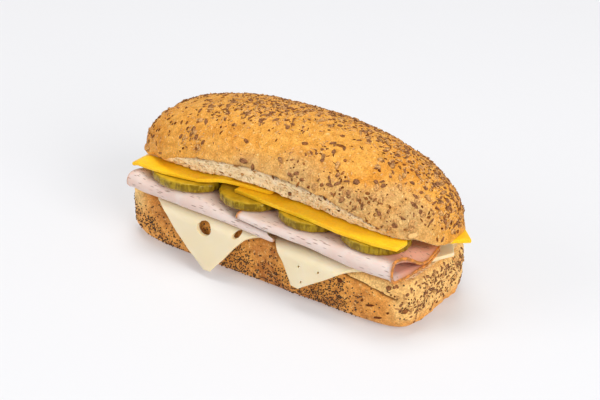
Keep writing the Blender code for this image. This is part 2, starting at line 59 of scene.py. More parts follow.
MM = 0.001
GAP = 0.3 * MM  # left between pieces that lie on one another

# Bottom bun, as the solid has it.
BASE_LENGTH = 183.5 * MM
BASE_WIDTH = 74.5 * MM
BASE_HEIGHT = 29 * MM
BASE_CENTRE = Vector((-0.7 * MM, -1.3 * MM, 0))
BASE_SQUARENESS_LEFT = 5
BASE_SQUARENESS_RIGHT = 8.5
BASE_SQUARENESS_BEHIND = 3.6
BASE_FOOT_ROUND = 10 * MM
BASE_RIM_ROUND = 3.5 * MM
BASE_LUMP_SIZE = 22 * MM
BASE_LUMP_HEIGHT = 0.9 * MM

# Rises, 0 at the middle of the underside and 1 at the middle of the top, where each part of its section ends.
FLAT_ENDS = 0.2
FOOT_ENDS = 0.45
WALL_ENDS = 0.7
RIM_ENDS = 0.85
# Rows of the mesh, as (from, to, how many).
BASE_ROWS = (
    (0.05, FLAT_ENDS, 5), (FLAT_ENDS, FOOT_ENDS, 28), (FOOT_ENDS, WALL_ENDS, 38), (WALL_ENDS, RIM_ENDS, 14),
    (RIM_ENDS, 0.99, 12),
)

# Top bun, as the solid has it.
TOP_LENGTH = 186 * MM
TOP_WIDTH = 73 * MM
TOP_HEIGHT = 85.5 * MM
TOP_CENTRE = Vector((3 * MM, -3.5 * MM, 0))
TOP_SQUARENESS_LEFT = 2.7
TOP_SQUARENESS_RIGHT = 2.3
TOP_DOME_POWER = 1.97
TOP_WIDEST_LEVEL = 50.5 * MM
TOP_RIM_LEVEL = 49 * MM
TOP_RIM_TUCK = 1 * MM
TOP_END_FLARE = 2.4 * MM
TOP_HOLLOW = 52.2 * MM
TOP_LUMP_SIZE = 24 * MM
TOP_LUMP_HEIGHT = 1 * MM
# Rises, 0 at the middle of the cut face and 1 at the crown, where the cut face and the side end.
CUT_ENDS = 0.18
SIDE_ENDS = 0.42
TOP_ROWS = (
    (0.04, 0.138, 4), (0.138, CUT_ENDS, 9), (CUT_ENDS, SIDE_ENDS, 46), (SIDE_ENDS, 0.9, 76), (0.9, 0.995, 12),
)
RIM_LIFT = 2.8 * MM
RIM_LIFT_AT = -14 * MM
RIM_LIFT_REACH = 23 * MM
RIM_DROOP_LEFT = 2 * MM
RIM_DROOP_RIGHT = 3.6 * MM
RIM_DROOP_OVER_SLICE = 5.2 * MM  # lower than the solid's: the crust presses on the cheddar corner
BAND_START = -66 * MM
BAND_END = 73 * MM
BAND_HEIGHT = 16.5 * MM
BAND_FOOT_AT = 25.3 * MM
BAND_DEEPEST = 22 * MM
BAND_DEEPER = 3 * MM
BAND_RECESS = 1.4 * MM
LIP_ABOVE_RIM = 3.5 * MM

# Slices, as the solids have them.
SWISS_FOLD_AT = 35.8 * MM
SWISS_BEND = 5 * MM
SWISS_HANG = math.radians(83)
SWISS_TIP_WIDTH = 3 * MM
SWISS_WAVE = 0.5 * MM
SWISS_HANGS_AT = 43 * MM
EYE_CUT_DEPTH = 12 * MM
SWISS_THICK = 2.1 * MM
SWISS_LEVEL = BASE_HEIGHT + GAP + SWISS_THICK / 2
HAM_FLOOR = BASE_HEIGHT + GAP + SWISS_THICK + GAP
HAM_TOP = 40.4 * MM
HAM_THICK = 1.5 * MM
HAM_REACH = 42 * MM
HAM_PINCH = 1 * MM
HAM_LAST_STATION = 0.965
SEAM_HALF = 1.4 * MM
FOLD_STARTS = 0.25
FOLD_ENDS = 0.75
LOOP_TOP_OPENS = 2.7 * MM
LOOP_FLOOR_OPENS = 1.8 * MM
CREASE_LEVEL = 34.6 * MM
CREASE_RISE = 3.2 * MM
PICKLE_THICK = 5 * MM
PICKLE_SIDES = 120
PICKLE_FLUTES = 17
PICKLE_PROFILE = (  # (distance out, level) as shares of the half sizes, top face first
    (0.25, 0.98), (0.5, 0.95), (0.7, 0.95), (0.82, 0.99), (0.90, 1.0), (0.945, 0.95), (0.975, 0.82),
    (0.992, 0.6), (1.0, 0.3), (1.0, 0.0), (0.998, -0.3), (0.985, -0.62), (0.965, -0.85), (0.93, -0.97),
    (0.85, -1.0), (0.5, -1.0),
)
CHEDDAR_THICK = 2 * MM
CHEDDAR_LEVEL = HAM_TOP + GAP + PICKLE_THICK + GAP + CHEDDAR_THICK / 2
CHEDDAR_DROOP_LEFT = 1.2 * MM
CHEDDAR_DROOP_END = 3.6 * MM

# Where toppings lie thickest, each drift as (place, reach, amount), with places and reaches in millimetres.
TOP_FLAKE_DRIFTS = (
    ((-45, -30, 69), 8, 0.75), ((-34, -12, 82), 12, 0.9), ((-12, -3, 85), 14, 0.9), ((6, -23, 80), 5, 0.35),
    ((31, -23, 78), 7, 0.5), ((24, -31, 72), 8, 0.35), ((45, -32, 66), 8, 0.55), ((56, -32, 63), 8, 0.6),
    ((57, 0, 78), 9, 0.8), ((69, 6, 74), 12, 0.9), ((83, -8, 68), 8, 0.5), ((94, -3, 57), 11, 1.0),
    ((70, -28, 60), 9, 0.4), ((12, 8, 84), 14, 0.9), ((36, 8, 82), 12, 0.8),
)
BASE_FLAKE_DRIFTS = (
    ((91, -9, 25), 8, 1.0), ((91, -20, 20), 8, 1.0), ((91, 6, 25), 9, 1.0), ((90, -28, 13), 5, 0.6),
)
POPPY_DRIFTS = (
    ((-10, -38, 8), 9, 1.0), ((10, -38, 12), 8, 0.9), ((-62, -34, 6), 9, 0.8), ((35, -38, 7), 10, 0.9),
    ((52, -38, 9), 9, 0.8), ((19, -38, 24), 5, 0.5), ((-82, -32, 14), 6, 0.6), ((-26, -38, 22), 5, 0.6),
    ((-12, -39, 11), 7, 1.0), ((53, -39, 20), 4, 0.9), ((42, -38, 10), 5, 1.0), ((-70, -38, 12), 5, 0.9),
)

# Single larger flakes, each as (place, length, width, turn, tint), in millimetres and degrees.
SINGLE_THICK = 0.8 * MM
SINGLE_BEND = 0.1 * MM
SINGLE_SIDES = 9
BASE_CHIPS = (
    ((70.6, -37.6, 13.5), 5.0, 1.1, 12, 0.1), ((74.7, -36.5, 7.7), 5.0, 1.3, 14, 0.1),
    ((66, -37.5, 15), 1.8, 1.2, 60, 0.2), ((80, -35.6, 12), 1.6, 1.2, 20, 0.15),
    ((53.4, -38.6, 22), 3.4, 2.6, 0, 0.12), ((80.4, -35.6, 26), 3.2, 2.4, 30, 0.5),
    ((88, -33, 14), 3.6, 2.6, -30, 0.4), ((90, -22, 20), 3.4, 2.0, 40, 0.5),
)
TOP_CHIPS = (
    ((-7.7, -35.4, 67.5), 5.4, 2.4, -4, 0.6), ((20, -22, 80), 3.6, 1.8, 20, 0.4),
    ((54, -27, 71), 3.0, 2.6, 0, 0.62), ((37, -16, 81), 5.2, 1.6, 5, 0.3),
    ((-11, -29, 75), 4.2, 1.7, -30, 0.45), ((44, -28, 72), 3.0, 1.8, 70, 0.5),
    ((19, 10, 83), 4.6, 2.2, 10, 0.6), ((-46, -30, 69.5), 3.2, 1.6, 75, 0.5),
    ((-52, -30, 66), 3.0, 1.6, 60, 0.55), ((-42, -31, 70), 2.8, 1.4, 40, 0.4),
)
TOP_OATS = (
    ((85.6, -24.8, 51), 6.0, 2.8, 25, 0.0), ((80, -27, 57), 3.0, 1.5, -40, 0.1),
)

# Second colours of the finishes; the first ones are settings.
SCORCHED = (0.50, 0.17, 0.025)
BRIGHT_CRUST = (0.92, 0.50, 0.14)
FRECKLE = (0.34, 0.11, 0.018)
FLOURY = (0.95, 0.66, 0.28)
PINHOLE = (0.26, 0.085, 0.018)
PALE_CRUMB = (0.99, 0.83, 0.58)
TOASTED_CRUMB = (0.80, 0.46, 0.18)
BRAN = (0.50, 0.22, 0.06)
CREASE_SHADE = (0.22, 0.085, 0.02)
BASE_DARKER = (0.50, 0.17, 0.035)
BASE_PALER = (0.95, 0.60, 0.22)
STRAW_FLAKE = (0.62, 0.32, 0.11)
DARK_FLAKE = (0.13, 0.035, 0.010)
FLAKE_BRIM = (0.16, 0.045, 0.010)
TOASTED_SLIVER = (0.66, 0.34, 0.12)
SLIVER_BRIM = (0.45, 0.20, 0.06)
WORN_POPPY = (0.10, 0.055, 0.035)
SWISS_EDGE = (0.86, 0.66, 0.34)
ROSY_HAM = (0.84, 0.42, 0.29)
HAM_FIBRE = (0.27, 0.16, 0.12)
PICKLE_CORE = (0.40, 0.24, 0.02)
PICKLE_STREAK = (0.36, 0.23, 0.010)
PICKLE_WART = (0.55, 0.38, 0.04)

# Stage.
TABLE_REACH = 6.0
TABLE_GLOW = 0.265
SKY_STRENGTH = 0.38
LAMPS = (  # name, place, size, watts
    ("key", (1.95, -0.7, 1.05), 1.3, 36.0),
    ("front", (-1.3, -1.6, 1.0), 1.3, 13.0),
    ("overhead", (-0.2, 0.1, 2.2), 1.2, 26.0),
)
CAMERA_TARGET = Vector((0, 0, 40 * MM))
CAMERA_LENS = 98.94
CAMERA_SHIFT = (0.00167, -0.01917)


# ---------------------------------------------------------------- settings


def colour_setting(name, description, default):
    """A colour that the sidebar offers."""
    return bpy.props.FloatVectorProperty(
        name=name, description=description, subtype="COLOR", size=3, min=0, max=1, default=default
    )


def length_setting(name, description, default):
    """A length that the sidebar offers, in metres."""
    return bpy.props.FloatProperty(
        name=name, description=description, subtype="DISTANCE", unit="LENGTH", min=0, default=default
    )


class SandwichBread(bpy.types.PropertyGroup):
    """Colours of the bread, and how finely its mesh is made."""

    crust: colour_setting("Crust", "Golden crust of the bread", (0.82, 0.38, 0.066))
    amber: colour_setting("Amber", "Darker baked patches", (0.70, 0.265, 0.028))
    tan: colour_setting("Tan", "Paler, less baked crust near the cut", (0.62, 0.375, 0.145))
    base: colour_setting("Lower crust", "Orange-brown wall of the bottom bun", (0.86, 0.375, 0.078))
    crumb: colour_setting("Crumb", "Inside of the bread", (0.99, 0.76, 0.45))
    column_step: length_setting("Column step", "Mesh spacing round the buns", 1.0 * MM)
    front_step: length_setting("Front step", "Mesh spacing along the opened side", 0.5 * MM)


class SandwichSeeds(bpy.types.PropertyGroup):
    """Colours and lengths of the toppings."""

    brown: colour_setting("Flake", "Bran and linseed flakes", (0.28, 0.095, 0.022))
    purple: colour_setting("Purple flake", "Purple-brown flakes", (0.27, 0.115, 0.048))
    pale: colour_setting("Sliver", "Pale oat slivers", (0.82, 0.50, 0.19))
    poppy: colour_setting("Poppy", "Poppy seeds", (0.022, 0.011, 0.008))
    flake_length: length_setting("Flake length", "Mean length of a flake", 3.0 * MM)
    sliver_length: length_setting("Sliver length", "Mean length of a sliver", 2.6 * MM)
    poppy_length: length_setting("Poppy length", "Length of a poppy seed", 0.92 * MM)


class SandwichFillings(bpy.types.PropertyGroup):
    """Colours and thicknesses of the fillings."""

    swiss: colour_setting("Swiss", "Swiss cheese", (0.79, 0.665, 0.44))
    ham: colour_setting("Ham", "Ham", (0.69, 0.52, 0.45))
    rind: colour_setting("Rind", "Orange-brown rind of the ham", (0.68, 0.25, 0.04))
    pickle_skin: colour_setting("Pickle skin", "Outside of a pickle", (0.17, 0.095, 0.002))
    pickle_flesh: colour_setting("Pickle flesh", "Inside of a pickle", (0.58, 0.36, 0.018))
    cheddar: colour_setting("Cheddar", "Cheddar cheese", (0.95, 0.51, 0.014))
    swiss_thick: length_setting("Swiss thickness", "Thickness of a Swiss slice", SWISS_THICK)
    ham_thick: length_setting("Ham thickness", "Thickness of a ham slice", HAM_THICK)
    cheddar_thick: length_setting("Cheddar thickness", "Thickness of a cheddar slice", CHEDDAR_THICK)


class SandwichStage(bpy.types.PropertyGroup):
    """Where the camera stands, and the table."""

    azimuth: bpy.props.FloatProperty(
        name="Azimuth", description="Camera turn round the roll", subtype="ANGLE", default=math.radians(36.5)
    )
    elevation: bpy.props.FloatProperty(
        name="Elevation", description="Camera tilt over the table", subtype="ANGLE", default=math.radians(27)
    )
    distance: length_setting("Distance", "Camera distance", 0.85)
    floor: colour_setting("Floor", "Table colour", (0.56, 0.56, 0.575))


# ---------------------------------------------------------------- shape helpers


def smooth(value):
    """Eases 0..1 in and out."""
    value = min(max(value, 0.0), 1.0)
    return value * value * (3 - 2 * value)


def along_line(value, points):
    """Straight-line interpolation through (input, output) points given in rising order."""
    for (low, first), (high, second) in zip(points, points[1:]):
        if value <= high:
            share = min(max((value - low) / (high - low), 0.0), 1.0)
            return first + (second - first) * share
    return points[-1][1]


def in_mm(*points):
    """Pairs given in millimetres, in metres."""
    return [(first * MM, second * MM) for first, second in points]


def bump(value, centre, reach):
    """A smooth hill, 1 at its centre."""
    return math.exp(-(((value - centre) / reach) ** 2))


def grain(point, size, shift=0.0):
    """Soft noise, about -1..1, with features of the given size."""
    return noise.noise(point / size + Vector((shift, 2 * shift, -shift)))


def pits(point, size):
    """0 in the middle of a bubble, rising to 1 between bubbles of the given size."""
    near = noise.voronoi(point / size)[0]
    return min(near[0] * 1.6, 1.0)


def add_mesh(name, verts, faces, material, values=None):
    """An object made from vertices and faces, with named point values for its material."""
    mesh = bpy.data.meshes.new(name)
    mesh.from_pydata([tuple(v) for v in verts], [], faces)
    mesh.polygons.foreach_set("use_smooth", [True] * len(mesh.polygons))
    mesh.materials.append(material)
    for label, data in (values or {}).items():
        layer = mesh.attributes.new(label, "FLOAT", "POINT")
        layer.data.foreach_set("value", data)
    mesh.validate()
    mesh.update()
    return show(bpy.data.objects.new(name, mesh))


def show(thing):
    """Puts an object in the scene."""
    bpy.context.scene.collection.objects.link(thing)
    return thing


def object_from(bm, name, material):
    """An object made from a finished bmesh, which is freed; it isn't in the scene yet."""
    mesh = bpy.data.meshes.new(name)
    bm.to_mesh(mesh)
    bm.free()
    mesh.materials.append(material)
    return bpy.data.objects.new(name, mesh)


def apply_modifiers(thing):
    """Replaces the object's mesh by its evaluated one, so that no modifier is left."""
    bpy.context.view_layer.update()
    graph = bpy.context.evaluated_depsgraph_get()
    mesh = bpy.data.meshes.new_from_object(thing.evaluated_get(graph))
    thing.modifiers.clear()
    thing.data = mesh


def dress(piece, slot, *nodes):
    """Rides the piece on the one body and hides the solids that it stands for; the slot is not used."""
    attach(piece, "root")
    if nodes:
        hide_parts(*nodes)


# ---------------------------------------------------------------- node helpers


def node(tree, kind, inputs=None, **settings):
    """Adds a shader or geometry node; inputs are values, or sockets to link from."""
    made = tree.nodes.new(kind)
    for key, value in settings.items():
        setattr(made, key, value)
    for key, value in (inputs or {}).items():
        socket = made.inputs[key]
        if isinstance(value, bpy.types.NodeSocket):
            tree.links.new(value, socket)
        else:
            socket.default_value = value
    return made


def rgba(colour):
    """A colour with full opacity as its fourth channel."""
    return (*tuple(colour)[:3], 1.0)


def as_colour(value):
    """A colour as four channels, or the socket that gives it."""
    return value if isinstance(value, bpy.types.NodeSocket) else rgba(value)


def tinted(colour, factors):
    """A colour with each channel multiplied by its own factor."""
    return [channel * factor for channel, factor in zip(colour, factors)]


class Finish:
    """A material being written: object coordinates in, Principled shader out."""

    def __init__(self, name, roughness, **uniform):
        self.material = bpy.data.materials.new(name)
        self.material.use_nodes = True
        self.tree = self.material.node_tree
        self.shader = self.tree.nodes["Principled BSDF"]
        self.shader.inputs["Roughness"].default_value = roughness
        for socket, value in uniform.items():
            value = rgba(value) if socket.endswith("Tint") else value
            self.shader.inputs[socket.replace("_", " ")].default_value = value
        self.place = node(self.tree, "ShaderNodeTexCoord").outputs["Object"]

    def stretched(self, scale, turn=(0, 0, 0)):
        """Object coordinates, turned and scaled per axis."""
        return node(
            self.tree, "ShaderNodeMapping", {"Vector": self.place, "Scale": scale, "Rotation": turn}
        ).outputs["Vector"]

    def noise(self, size, detail=2.0, vector=None, **more):
        """Soft noise with features of the given size."""
        inputs = {"Vector": vector or self.place, "Scale": 1 / size, "Detail": detail, **more}
        return node(self.tree, "ShaderNodeTexNoise", inputs).outputs["Fac"]

    def cells(self, size, vector=None):
        """Distance to the nearest of scattered points, which lie the given size apart."""
        inputs = {"Vector": vector or self.place, "Scale": 1 / size}
        return node(self.tree, "ShaderNodeTexVoronoi", inputs).outputs["Distance"]

    def value(self, label):
        """A named value stored on the mesh."""
        return node(self.tree, "ShaderNodeAttribute", attribute_name=label).outputs["Fac"]

    def steps(self, value, low, high, to_low=0.0, to_high=1.0):
        """Maps low..high to a smooth 0..1, or to the given ends."""
        inputs = {
            "Value": value, "From Min": low, "From Max": high, "To Min": to_low, "To Max": to_high
        }
        return node(
            self.tree, "ShaderNodeMapRange", inputs, interpolation_type="SMOOTHSTEP"
        ).outputs["Result"]

    def maths(self, operation, first, second):
        """Two values joined by an arithmetic operation."""
        return node(self.tree, "ShaderNodeMath", {0: first, 1: second}, operation=operation).outputs[0]

    def mix(self, factor, first, second, blend="MIX"):
        """Two colours mixed by a factor."""
        inputs = {0: factor, 6: as_colour(first), 7: as_colour(second)}
        return node(self.tree, "ShaderNodeMix", inputs, data_type="RGBA", blend_type=blend).outputs[2]

    def layered(self, colour, *layers):
        """A colour with others laid over it in turn, each layer a (mask, colour) pair."""
        for mask, over in layers:
            colour = self.mix(mask, colour, over)
        return colour

    def shaded(self, colour, brightness):
        """A colour multiplied by a brightness."""
        channels = {0: brightness, 1: brightness, 2: brightness}
        grey = node(self.tree, "ShaderNodeCombineColor", channels).outputs[0]
        return self.mix(1.0, colour, grey, "MULTIPLY")

    def colour(self, source):
        """Links the base colour."""
        self.tree.links.new(source, self.shader.inputs["Base Color"])

    def roughness(self, source):
        """Links the roughness."""
        self.tree.links.new(source, self.shader.inputs["Roughness"])

    def patchy_roughness(self, size, shiny, dull):
        """Roughness between two values, in patches of the given size."""
        self.roughness(self.steps(self.noise(size, 2), 0.3, 0.7, shiny, dull))

    def relief(self, height, depth, strength=1.0):
        """Raises the surface by the height, 0..1, times the depth."""
        inputs = {"Height": height, "Distance": depth, "Strength": strength}
        made = node(self.tree, "ShaderNodeBump", inputs)
        self.tree.links.new(made.outputs["Normal"], self.shader.inputs["Normal"])


# ---------------------------------------------------------------- bread


def plan_point(angle, half_length, half_width, squareness):
    """A point on the rounded-rectangle outline that both bun halves share."""
    across = abs(math.cos(angle)) ** squareness + abs(math.sin(angle)) ** squareness
    radius = across ** (-1 / squareness)
    return Vector((half_length * radius * math.cos(angle), half_width * radius * math.sin(angle), 0))


def base_section(rise):
    """(inset from the widest outline, level, share of the outline) at one height of the bottom bun."""
    if rise <= FLAT_ENDS:
        return BASE_FOOT_ROUND, 0.0, rise / FLAT_ENDS
    if rise <= FOOT_ENDS:
        turn = (rise - FLAT_ENDS) / (FOOT_ENDS - FLAT_ENDS) * math.pi / 2
        return BASE_FOOT_ROUND * (1 - math.sin(turn)), BASE_FOOT_ROUND * (1 - math.cos(turn)), 1.0
    if rise <= WALL_ENDS:
        climb = (rise - FOOT_ENDS) / (WALL_ENDS - FOOT_ENDS)
        level = BASE_FOOT_ROUND + climb * (BASE_HEIGHT - BASE_RIM_ROUND - BASE_FOOT_ROUND)
        return 0.0, level, 1.0
    if rise <= RIM_ENDS:
        turn = (rise - WALL_ENDS) / (RIM_ENDS - WALL_ENDS) * math.pi / 2
        return BASE_RIM_ROUND * (1 - math.cos(turn)), BASE_HEIGHT - BASE_RIM_ROUND * (1 - math.sin(turn)), 1.0
    return BASE_RIM_ROUND, BASE_HEIGHT, max(1 - rise, 0) / (1 - RIM_ENDS)


def base_squareness(angle):
    """How square the bottom bun is in plan: most at its right end, least behind."""
    rightward = 0.5 + 0.5 * math.cos(angle)
    squareness = BASE_SQUARENESS_LEFT + (BASE_SQUARENESS_RIGHT - BASE_SQUARENESS_LEFT) * rightward
    return squareness + (BASE_SQUARENESS_BEHIND - squareness) * smooth(2 * math.sin(angle))


def base_surface(angle, rise):
    """The bottom bun's skin: rise runs from the middle of the underside (0) to the middle of the top (1)."""
    inset, level, share = base_section(rise)
    plan = plan_point(angle, BASE_LENGTH / 2 - inset, BASE_WIDTH / 2 - inset, base_squareness(angle))
    on_wall = smooth(level / (6 * MM)) * smooth((BASE_HEIGHT - level) / (5 * MM))
    lump = BASE_LUMP_HEIGHT * grain(Vector((plan.x, plan.y, level)), BASE_LUMP_SIZE)
    swell = 1 + lump * on_wall / (BASE_WIDTH / 2)
    return Vector((plan.x * share * swell, plan.y * share * swell, level)) + BASE_CENTRE


def band_share(outline):
    """1 along the middle of the opened side, falling to 0 at the band's two ends and off that side."""
    middle = (BAND_START + BAND_END) / 2
    along = (outline.x - middle) / ((BAND_END - BAND_START) / 2)
    opened = smooth(-outline.y / (TOP_WIDTH / 2) * 4 - 1)
    return opened * max(1 - along * along, 0.0) ** (0.6 if along < 0 else 0.8)


def rim_level(outline):
    """Level of the top bun's lower edge: lifted over the crossing cheddar, drooping at the two ends."""
    crossed = RIM_LIFT * math.exp(-(((outline.x - RIM_LIFT_AT) / RIM_LIFT_REACH) ** 4))
    drooped_left = RIM_DROOP_LEFT * smooth((-outline.x - 80 * MM) / (10 * MM))
    over_slice = smooth((outline.y + 16 * MM) / (8 * MM))
    droop = RIM_DROOP_RIGHT + (RIM_DROOP_OVER_SLICE - RIM_DROOP_RIGHT) * over_slice
    drooped_right = droop * smooth((outline.x - 82 * MM) / (8 * MM))
    return TOP_RIM_LEVEL + crossed - drooped_left - drooped_right


def dome_turn(level):
    """Angle along the dome's quarter curve at which it reaches the given level."""
    height = max(level - TOP_WIDEST_LEVEL, 0) / (TOP_HEIGHT - TOP_WIDEST_LEVEL)
    return math.asin(min(height ** (TOP_DOME_POWER / 2), 1.0))


def dome_section(turn):
    """(share of the outline, level) on the dome."""
    share = max(math.cos(turn), 0.0) ** (2 / TOP_DOME_POWER)
    lift = max(math.sin(turn), 0.0) ** (2 / TOP_DOME_POWER)
    return share, TOP_WIDEST_LEVEL + (TOP_HEIGHT - TOP_WIDEST_LEVEL) * lift


def top_plan(angle, inset):
    """The top bun's outline in plan, drawn in by the inset; its left end is squarer than its right."""
    rightward = 0.5 + 0.5 * math.cos(angle)
    squareness = TOP_SQUARENESS_LEFT + (TOP_SQUARENESS_RIGHT - TOP_SQUARENESS_LEFT) * rightward
    return plan_point(angle, TOP_LENGTH / 2 - inset, TOP_WIDTH / 2 - inset, squareness)


def top_surface(angle, rise):
    """The top bun's skin: rise runs from the middle of the cut face (0) to the crown (1)."""
    outline = top_plan(angle, 0)
    band = band_share(outline)
    rim = rim_level(outline)
    flare = TOP_END_FLARE * smooth((abs(outline.x) - 66 * MM) / (14 * MM))
    lip_level = max(rim + LIP_ABOVE_RIM, TOP_RIM_LEVEL + BAND_HEIGHT * band)
    torn = min(band * 3, 1)
    lip_level += torn * (0.7 * MM * grain(outline, 8 * MM, 11) + 0.4 * MM * grain(outline, 3 * MM, 12))
    rim += torn * 0.4 * MM * grain(outline, 3.5 * MM, 13)
    lip_turn = dome_turn(lip_level)
    lip_share, _ = dome_section(lip_turn)
    rim_point = top_plan(angle, TOP_RIM_TUCK - flare)
    deeper = BAND_DEEPER * bump(outline.x, BAND_DEEPEST, 20 * MM)
    rim_point.y = max(rim_point.y, deeper - BAND_FOOT_AT)
    if rise <= CUT_ENDS:
        share = rise / CUT_ENDS
        level = TOP_HOLLOW + (rim - TOP_HOLLOW) * smooth((share - 0.8) / 0.12)
        point = Vector((rim_point.x * share, rim_point.y * share, level))
    elif rise <= SIDE_ENDS:
        climb = (rise - CUT_ENDS) / (SIDE_ENDS - CUT_ENDS)
        point = top_side(rim_point, rim, outline * lip_share, lip_level, band, climb)
    else:
        turn = lip_turn + (math.pi / 2 - lip_turn) * (rise - SIDE_ENDS) / (1 - SIDE_ENDS)
        share, level = dome_section(turn)
        point = Vector((outline.x * share, outline.y * share, level))
    bulge = TOP_LUMP_HEIGHT * grain(point, TOP_LUMP_SIZE) * smooth((rise - 0.2) / 0.15)
    outward = Vector((outline.x / TOP_LENGTH, outline.y / TOP_WIDTH, 0.4 * (rise > 0.5)))
    return point + outward.normalized() * bulge + TOP_CENTRE


def top_side(rim_point, rim, lip_point, lip_level, band, climb):
    """Between the rim and the lip: a rounded crust, or the drawn-in crumb band on the opened side."""
    crust = math.sin(climb * math.pi / 2)
    crumb = climb * 0.9
    share = crust + (crumb - crust) * min(band * 3, 1)
    notch = BAND_RECESS * min(band * 3, 1) * smooth(climb * 4) * smooth((0.97 - climb) * 12)
    flat = rim_point.lerp(lip_point, share)
    flat -= flat.normalized() * notch
    return Vector((flat.x, flat.y, rim + (lip_level - rim) * climb))


def even_angles(plan, step, front_step):
    """Angles round an outline at even spacing, closer together along the opened side."""
    fine = 4000
    turns = [math.tau * k / fine for k in range(fine + 1)]
    path = [plan(turn) for turn in turns]
    travelled = [0.0]
    for here, after in zip(path, path[1:]):
        opened = smooth(-(here.y / TOP_WIDTH) * 6 - 0.6)
        spacing = step + (front_step - step) * opened
        travelled.append(travelled[-1] + (after - here).length / spacing)
    count = round(travelled[-1])
    angles = []
    at = 0
    for k in range(count):
        goal = travelled[-1] * k / count
        while travelled[at + 1] < goal:
            at += 1
        share = (goal - travelled[at]) / (travelled[at + 1] - travelled[at])
        angles.append(turns[at] + (turns[at + 1] - turns[at]) * share)
    return angles


def spread(low, high, count):
    """Even steps from low up to, but without, high."""
    return [low + (high - low) * k / count for k in range(count)]


def skin(name, surface, relief, angles, spacings, material):
    """A closed bun skin: the surface at each angle and rise, pushed out by relief(point, angle, rise, up)."""
    ring = len(angles)
    rises = [rise for spacing in spacings for rise in spread(*spacing)]
    rows = [[surface(angle, rise) for angle in angles] for rise in rises]
    foot, crown = surface(0, 0), surface(0, 1)
    verts, tables = [foot], [relief(foot, 0, 0, -1)[1]]
    for j, rise in enumerate(rises):
        below = rows[j - 1] if j else [foot] * ring
        above = rows[j + 1] if j + 1 < len(rises) else [crown] * ring
        for i, angle in enumerate(angles):
            around = rows[j][(i + 1) % ring] - rows[j][i - 1]
            outward = around.cross(above[i] - below[i]).normalized()
            height, values = relief(rows[j][i], angle, rise, outward.z)
            verts.append(rows[j][i] + outward * height)
            tables.append(values)
    verts.append(crown)
    tables.append(relief(crown, 0, 1, 1)[1])
    faces = [(0, 1 + (i + 1) % ring, 1 + i) for i in range(ring)]
    for j in range(len(rises) - 1):
        start = 1 + j * ring
        for i in range(ring):
            after = (i + 1) % ring
            faces.append((start + i, start + after, start + ring + after, start + ring + i))
    last = 1 + (len(rises) - 1) * ring
    faces += [(last + i, last + (i + 1) % ring, len(verts) - 1) for i in range(ring)]
    values = {label: [row[label] for row in tables] for label in tables[0]}
    return add_mesh(name, verts, faces, material, values)


def drifted(point, drifts):
    """How thickly the drifts cover a point."""
    here = point / MM
    cover = sum(amount * bump((here - Vector(spot)).length, 0, reach) for spot, reach, amount in drifts)
    return min(cover, 1)


def torn_height(point, x, climb, rise):
    """Relief of the open crumb in millimetres: bubbles, and an undercut below the crust's lip."""
    bubbles = pits(point, 3.4 * MM) - 0.6 + 0.5 * (pits(point, 1.7 * MM) - 0.6)
    if rise <= CUT_ENDS:
        return 0.3 * bubbles
    undercut = (1.0 + 2.2 * smooth((x + 25) / 35)) * bump(climb, 0.86, 0.09)
    torn = 0.7 * bubbles + 0.7 * grain(point, 7 * MM, 4) + 0.4 * grain(point, 2.2 * MM, 2)
    return torn - undercut * (0.8 + 0.7 * grain(point, 8 * MM, 9))


def top_flakes(point, x, y, z):
    """How thickly flakes lie on the top bun's crust: along the crown, behind and at both ends."""
    left, right = smooth((-x - 62) / 20), smooth((x - 45) / 30)
    behind, ridge = smooth((y + 4) / 14), smooth((z - 76) / 6)
    drifts = smooth(0.3 + 1.9 * grain(point, 15 * MM, 15))
    thick = 0.03 + 0.08 * drifts * (1 - ridge) + 0.35 * ridge * drifts * smooth((y + 22) / 12)
    thick += behind * (0.40 + 0.5 * drifts) + 0.28 * right * smooth((z - 50) / 6) + 0.25 * left
    return min(thick + drifted(point, TOP_FLAKE_DRIFTS), 1)


def top_relief(point, angle, rise, up):
    """Height of the top bun's fine relief, and its values: crumb, bake, painted shade below the lip, painted
    light and shade by the relief, and where the toppings lie.
    """
    band = min(band_share(top_plan(angle, 0)) * 3, 1)
    climb = (rise - CUT_ENDS) / (SIDE_ENDS - CUT_ENDS)
    ragged = 0.03 * grain(point, 5 * MM, 3)
    crumb = 1.0 if rise <= CUT_ENDS else band * smooth((0.965 + ragged - climb) * 40)
    x, y, z = (point - TOP_CENTRE) / MM
    lower = smooth((76 + 6 * grain(point, 22 * MM, 1) - z) / 12)
    wrinkle = (0.35 + 0.25 * lower * smooth((x - 20) / 20)) * grain(point, 9 * MM)
    fine = 0.26 * grain(point, 3.2 * MM, 5) + 0.13 * grain(point, 1.4 * MM, 7)
    height = (wrinkle + fine) * (1 - crumb) + torn_height(point, x, climb, rise) * crumb
    patch = smooth(0.5 + 1.6 * grain(point, 17 * MM, 6))
    left, right = smooth((-x - 62) / 20), smooth((x - 45) / 30)
    behind, ridge = smooth((y + 4) / 14), smooth((z - 76) / 6)
    baked = min(0.5 * patch + 0.3 * behind + left + 0.35 * right * patch, 1) * (1 - 0.7 * ridge)
    rightward = smooth((x + 20) / 30)
    on_crumb = 0.11 * crumb * band * smooth((rise - CUT_ENDS) / 0.03) * (0.4 + 0.8 * rightward)
    on_crust = top_flakes(point, x, y, z) * (1 - crumb) * smooth((rise - CUT_ENDS - 0.06) / 0.05)
    # Painted shade: the crumb just below the crust's lip is darkened in colour, standing in for the shade of
    # the overhanging lip.
    shade = bump(climb, 0.88 - 0.04 * rightward, 0.07 + 0.03 * rightward) * (0.95 + 0.05 * rightward)
    shade *= crumb * band * smooth((x + 56) / 14) * (0.9 + 0.5 * grain(point, 5 * MM, 8))
    values = {
        "crumb": crumb,
        "bake": baked,
        "pale": lower * smooth((-y - 4) / 14) * (0.65 + 0.35 * patch) * smooth((x + 50) / 45),
        "flakes": on_crust + on_crumb,
        "crease": min(max(shade, 0), 1) * 0.9,
        # How sunk the fine relief is, for painted shade in its dips and painted highlights on its bumps.
        "hollow": smooth(0.5 - 3 * fine),
    }
    return height * MM, values


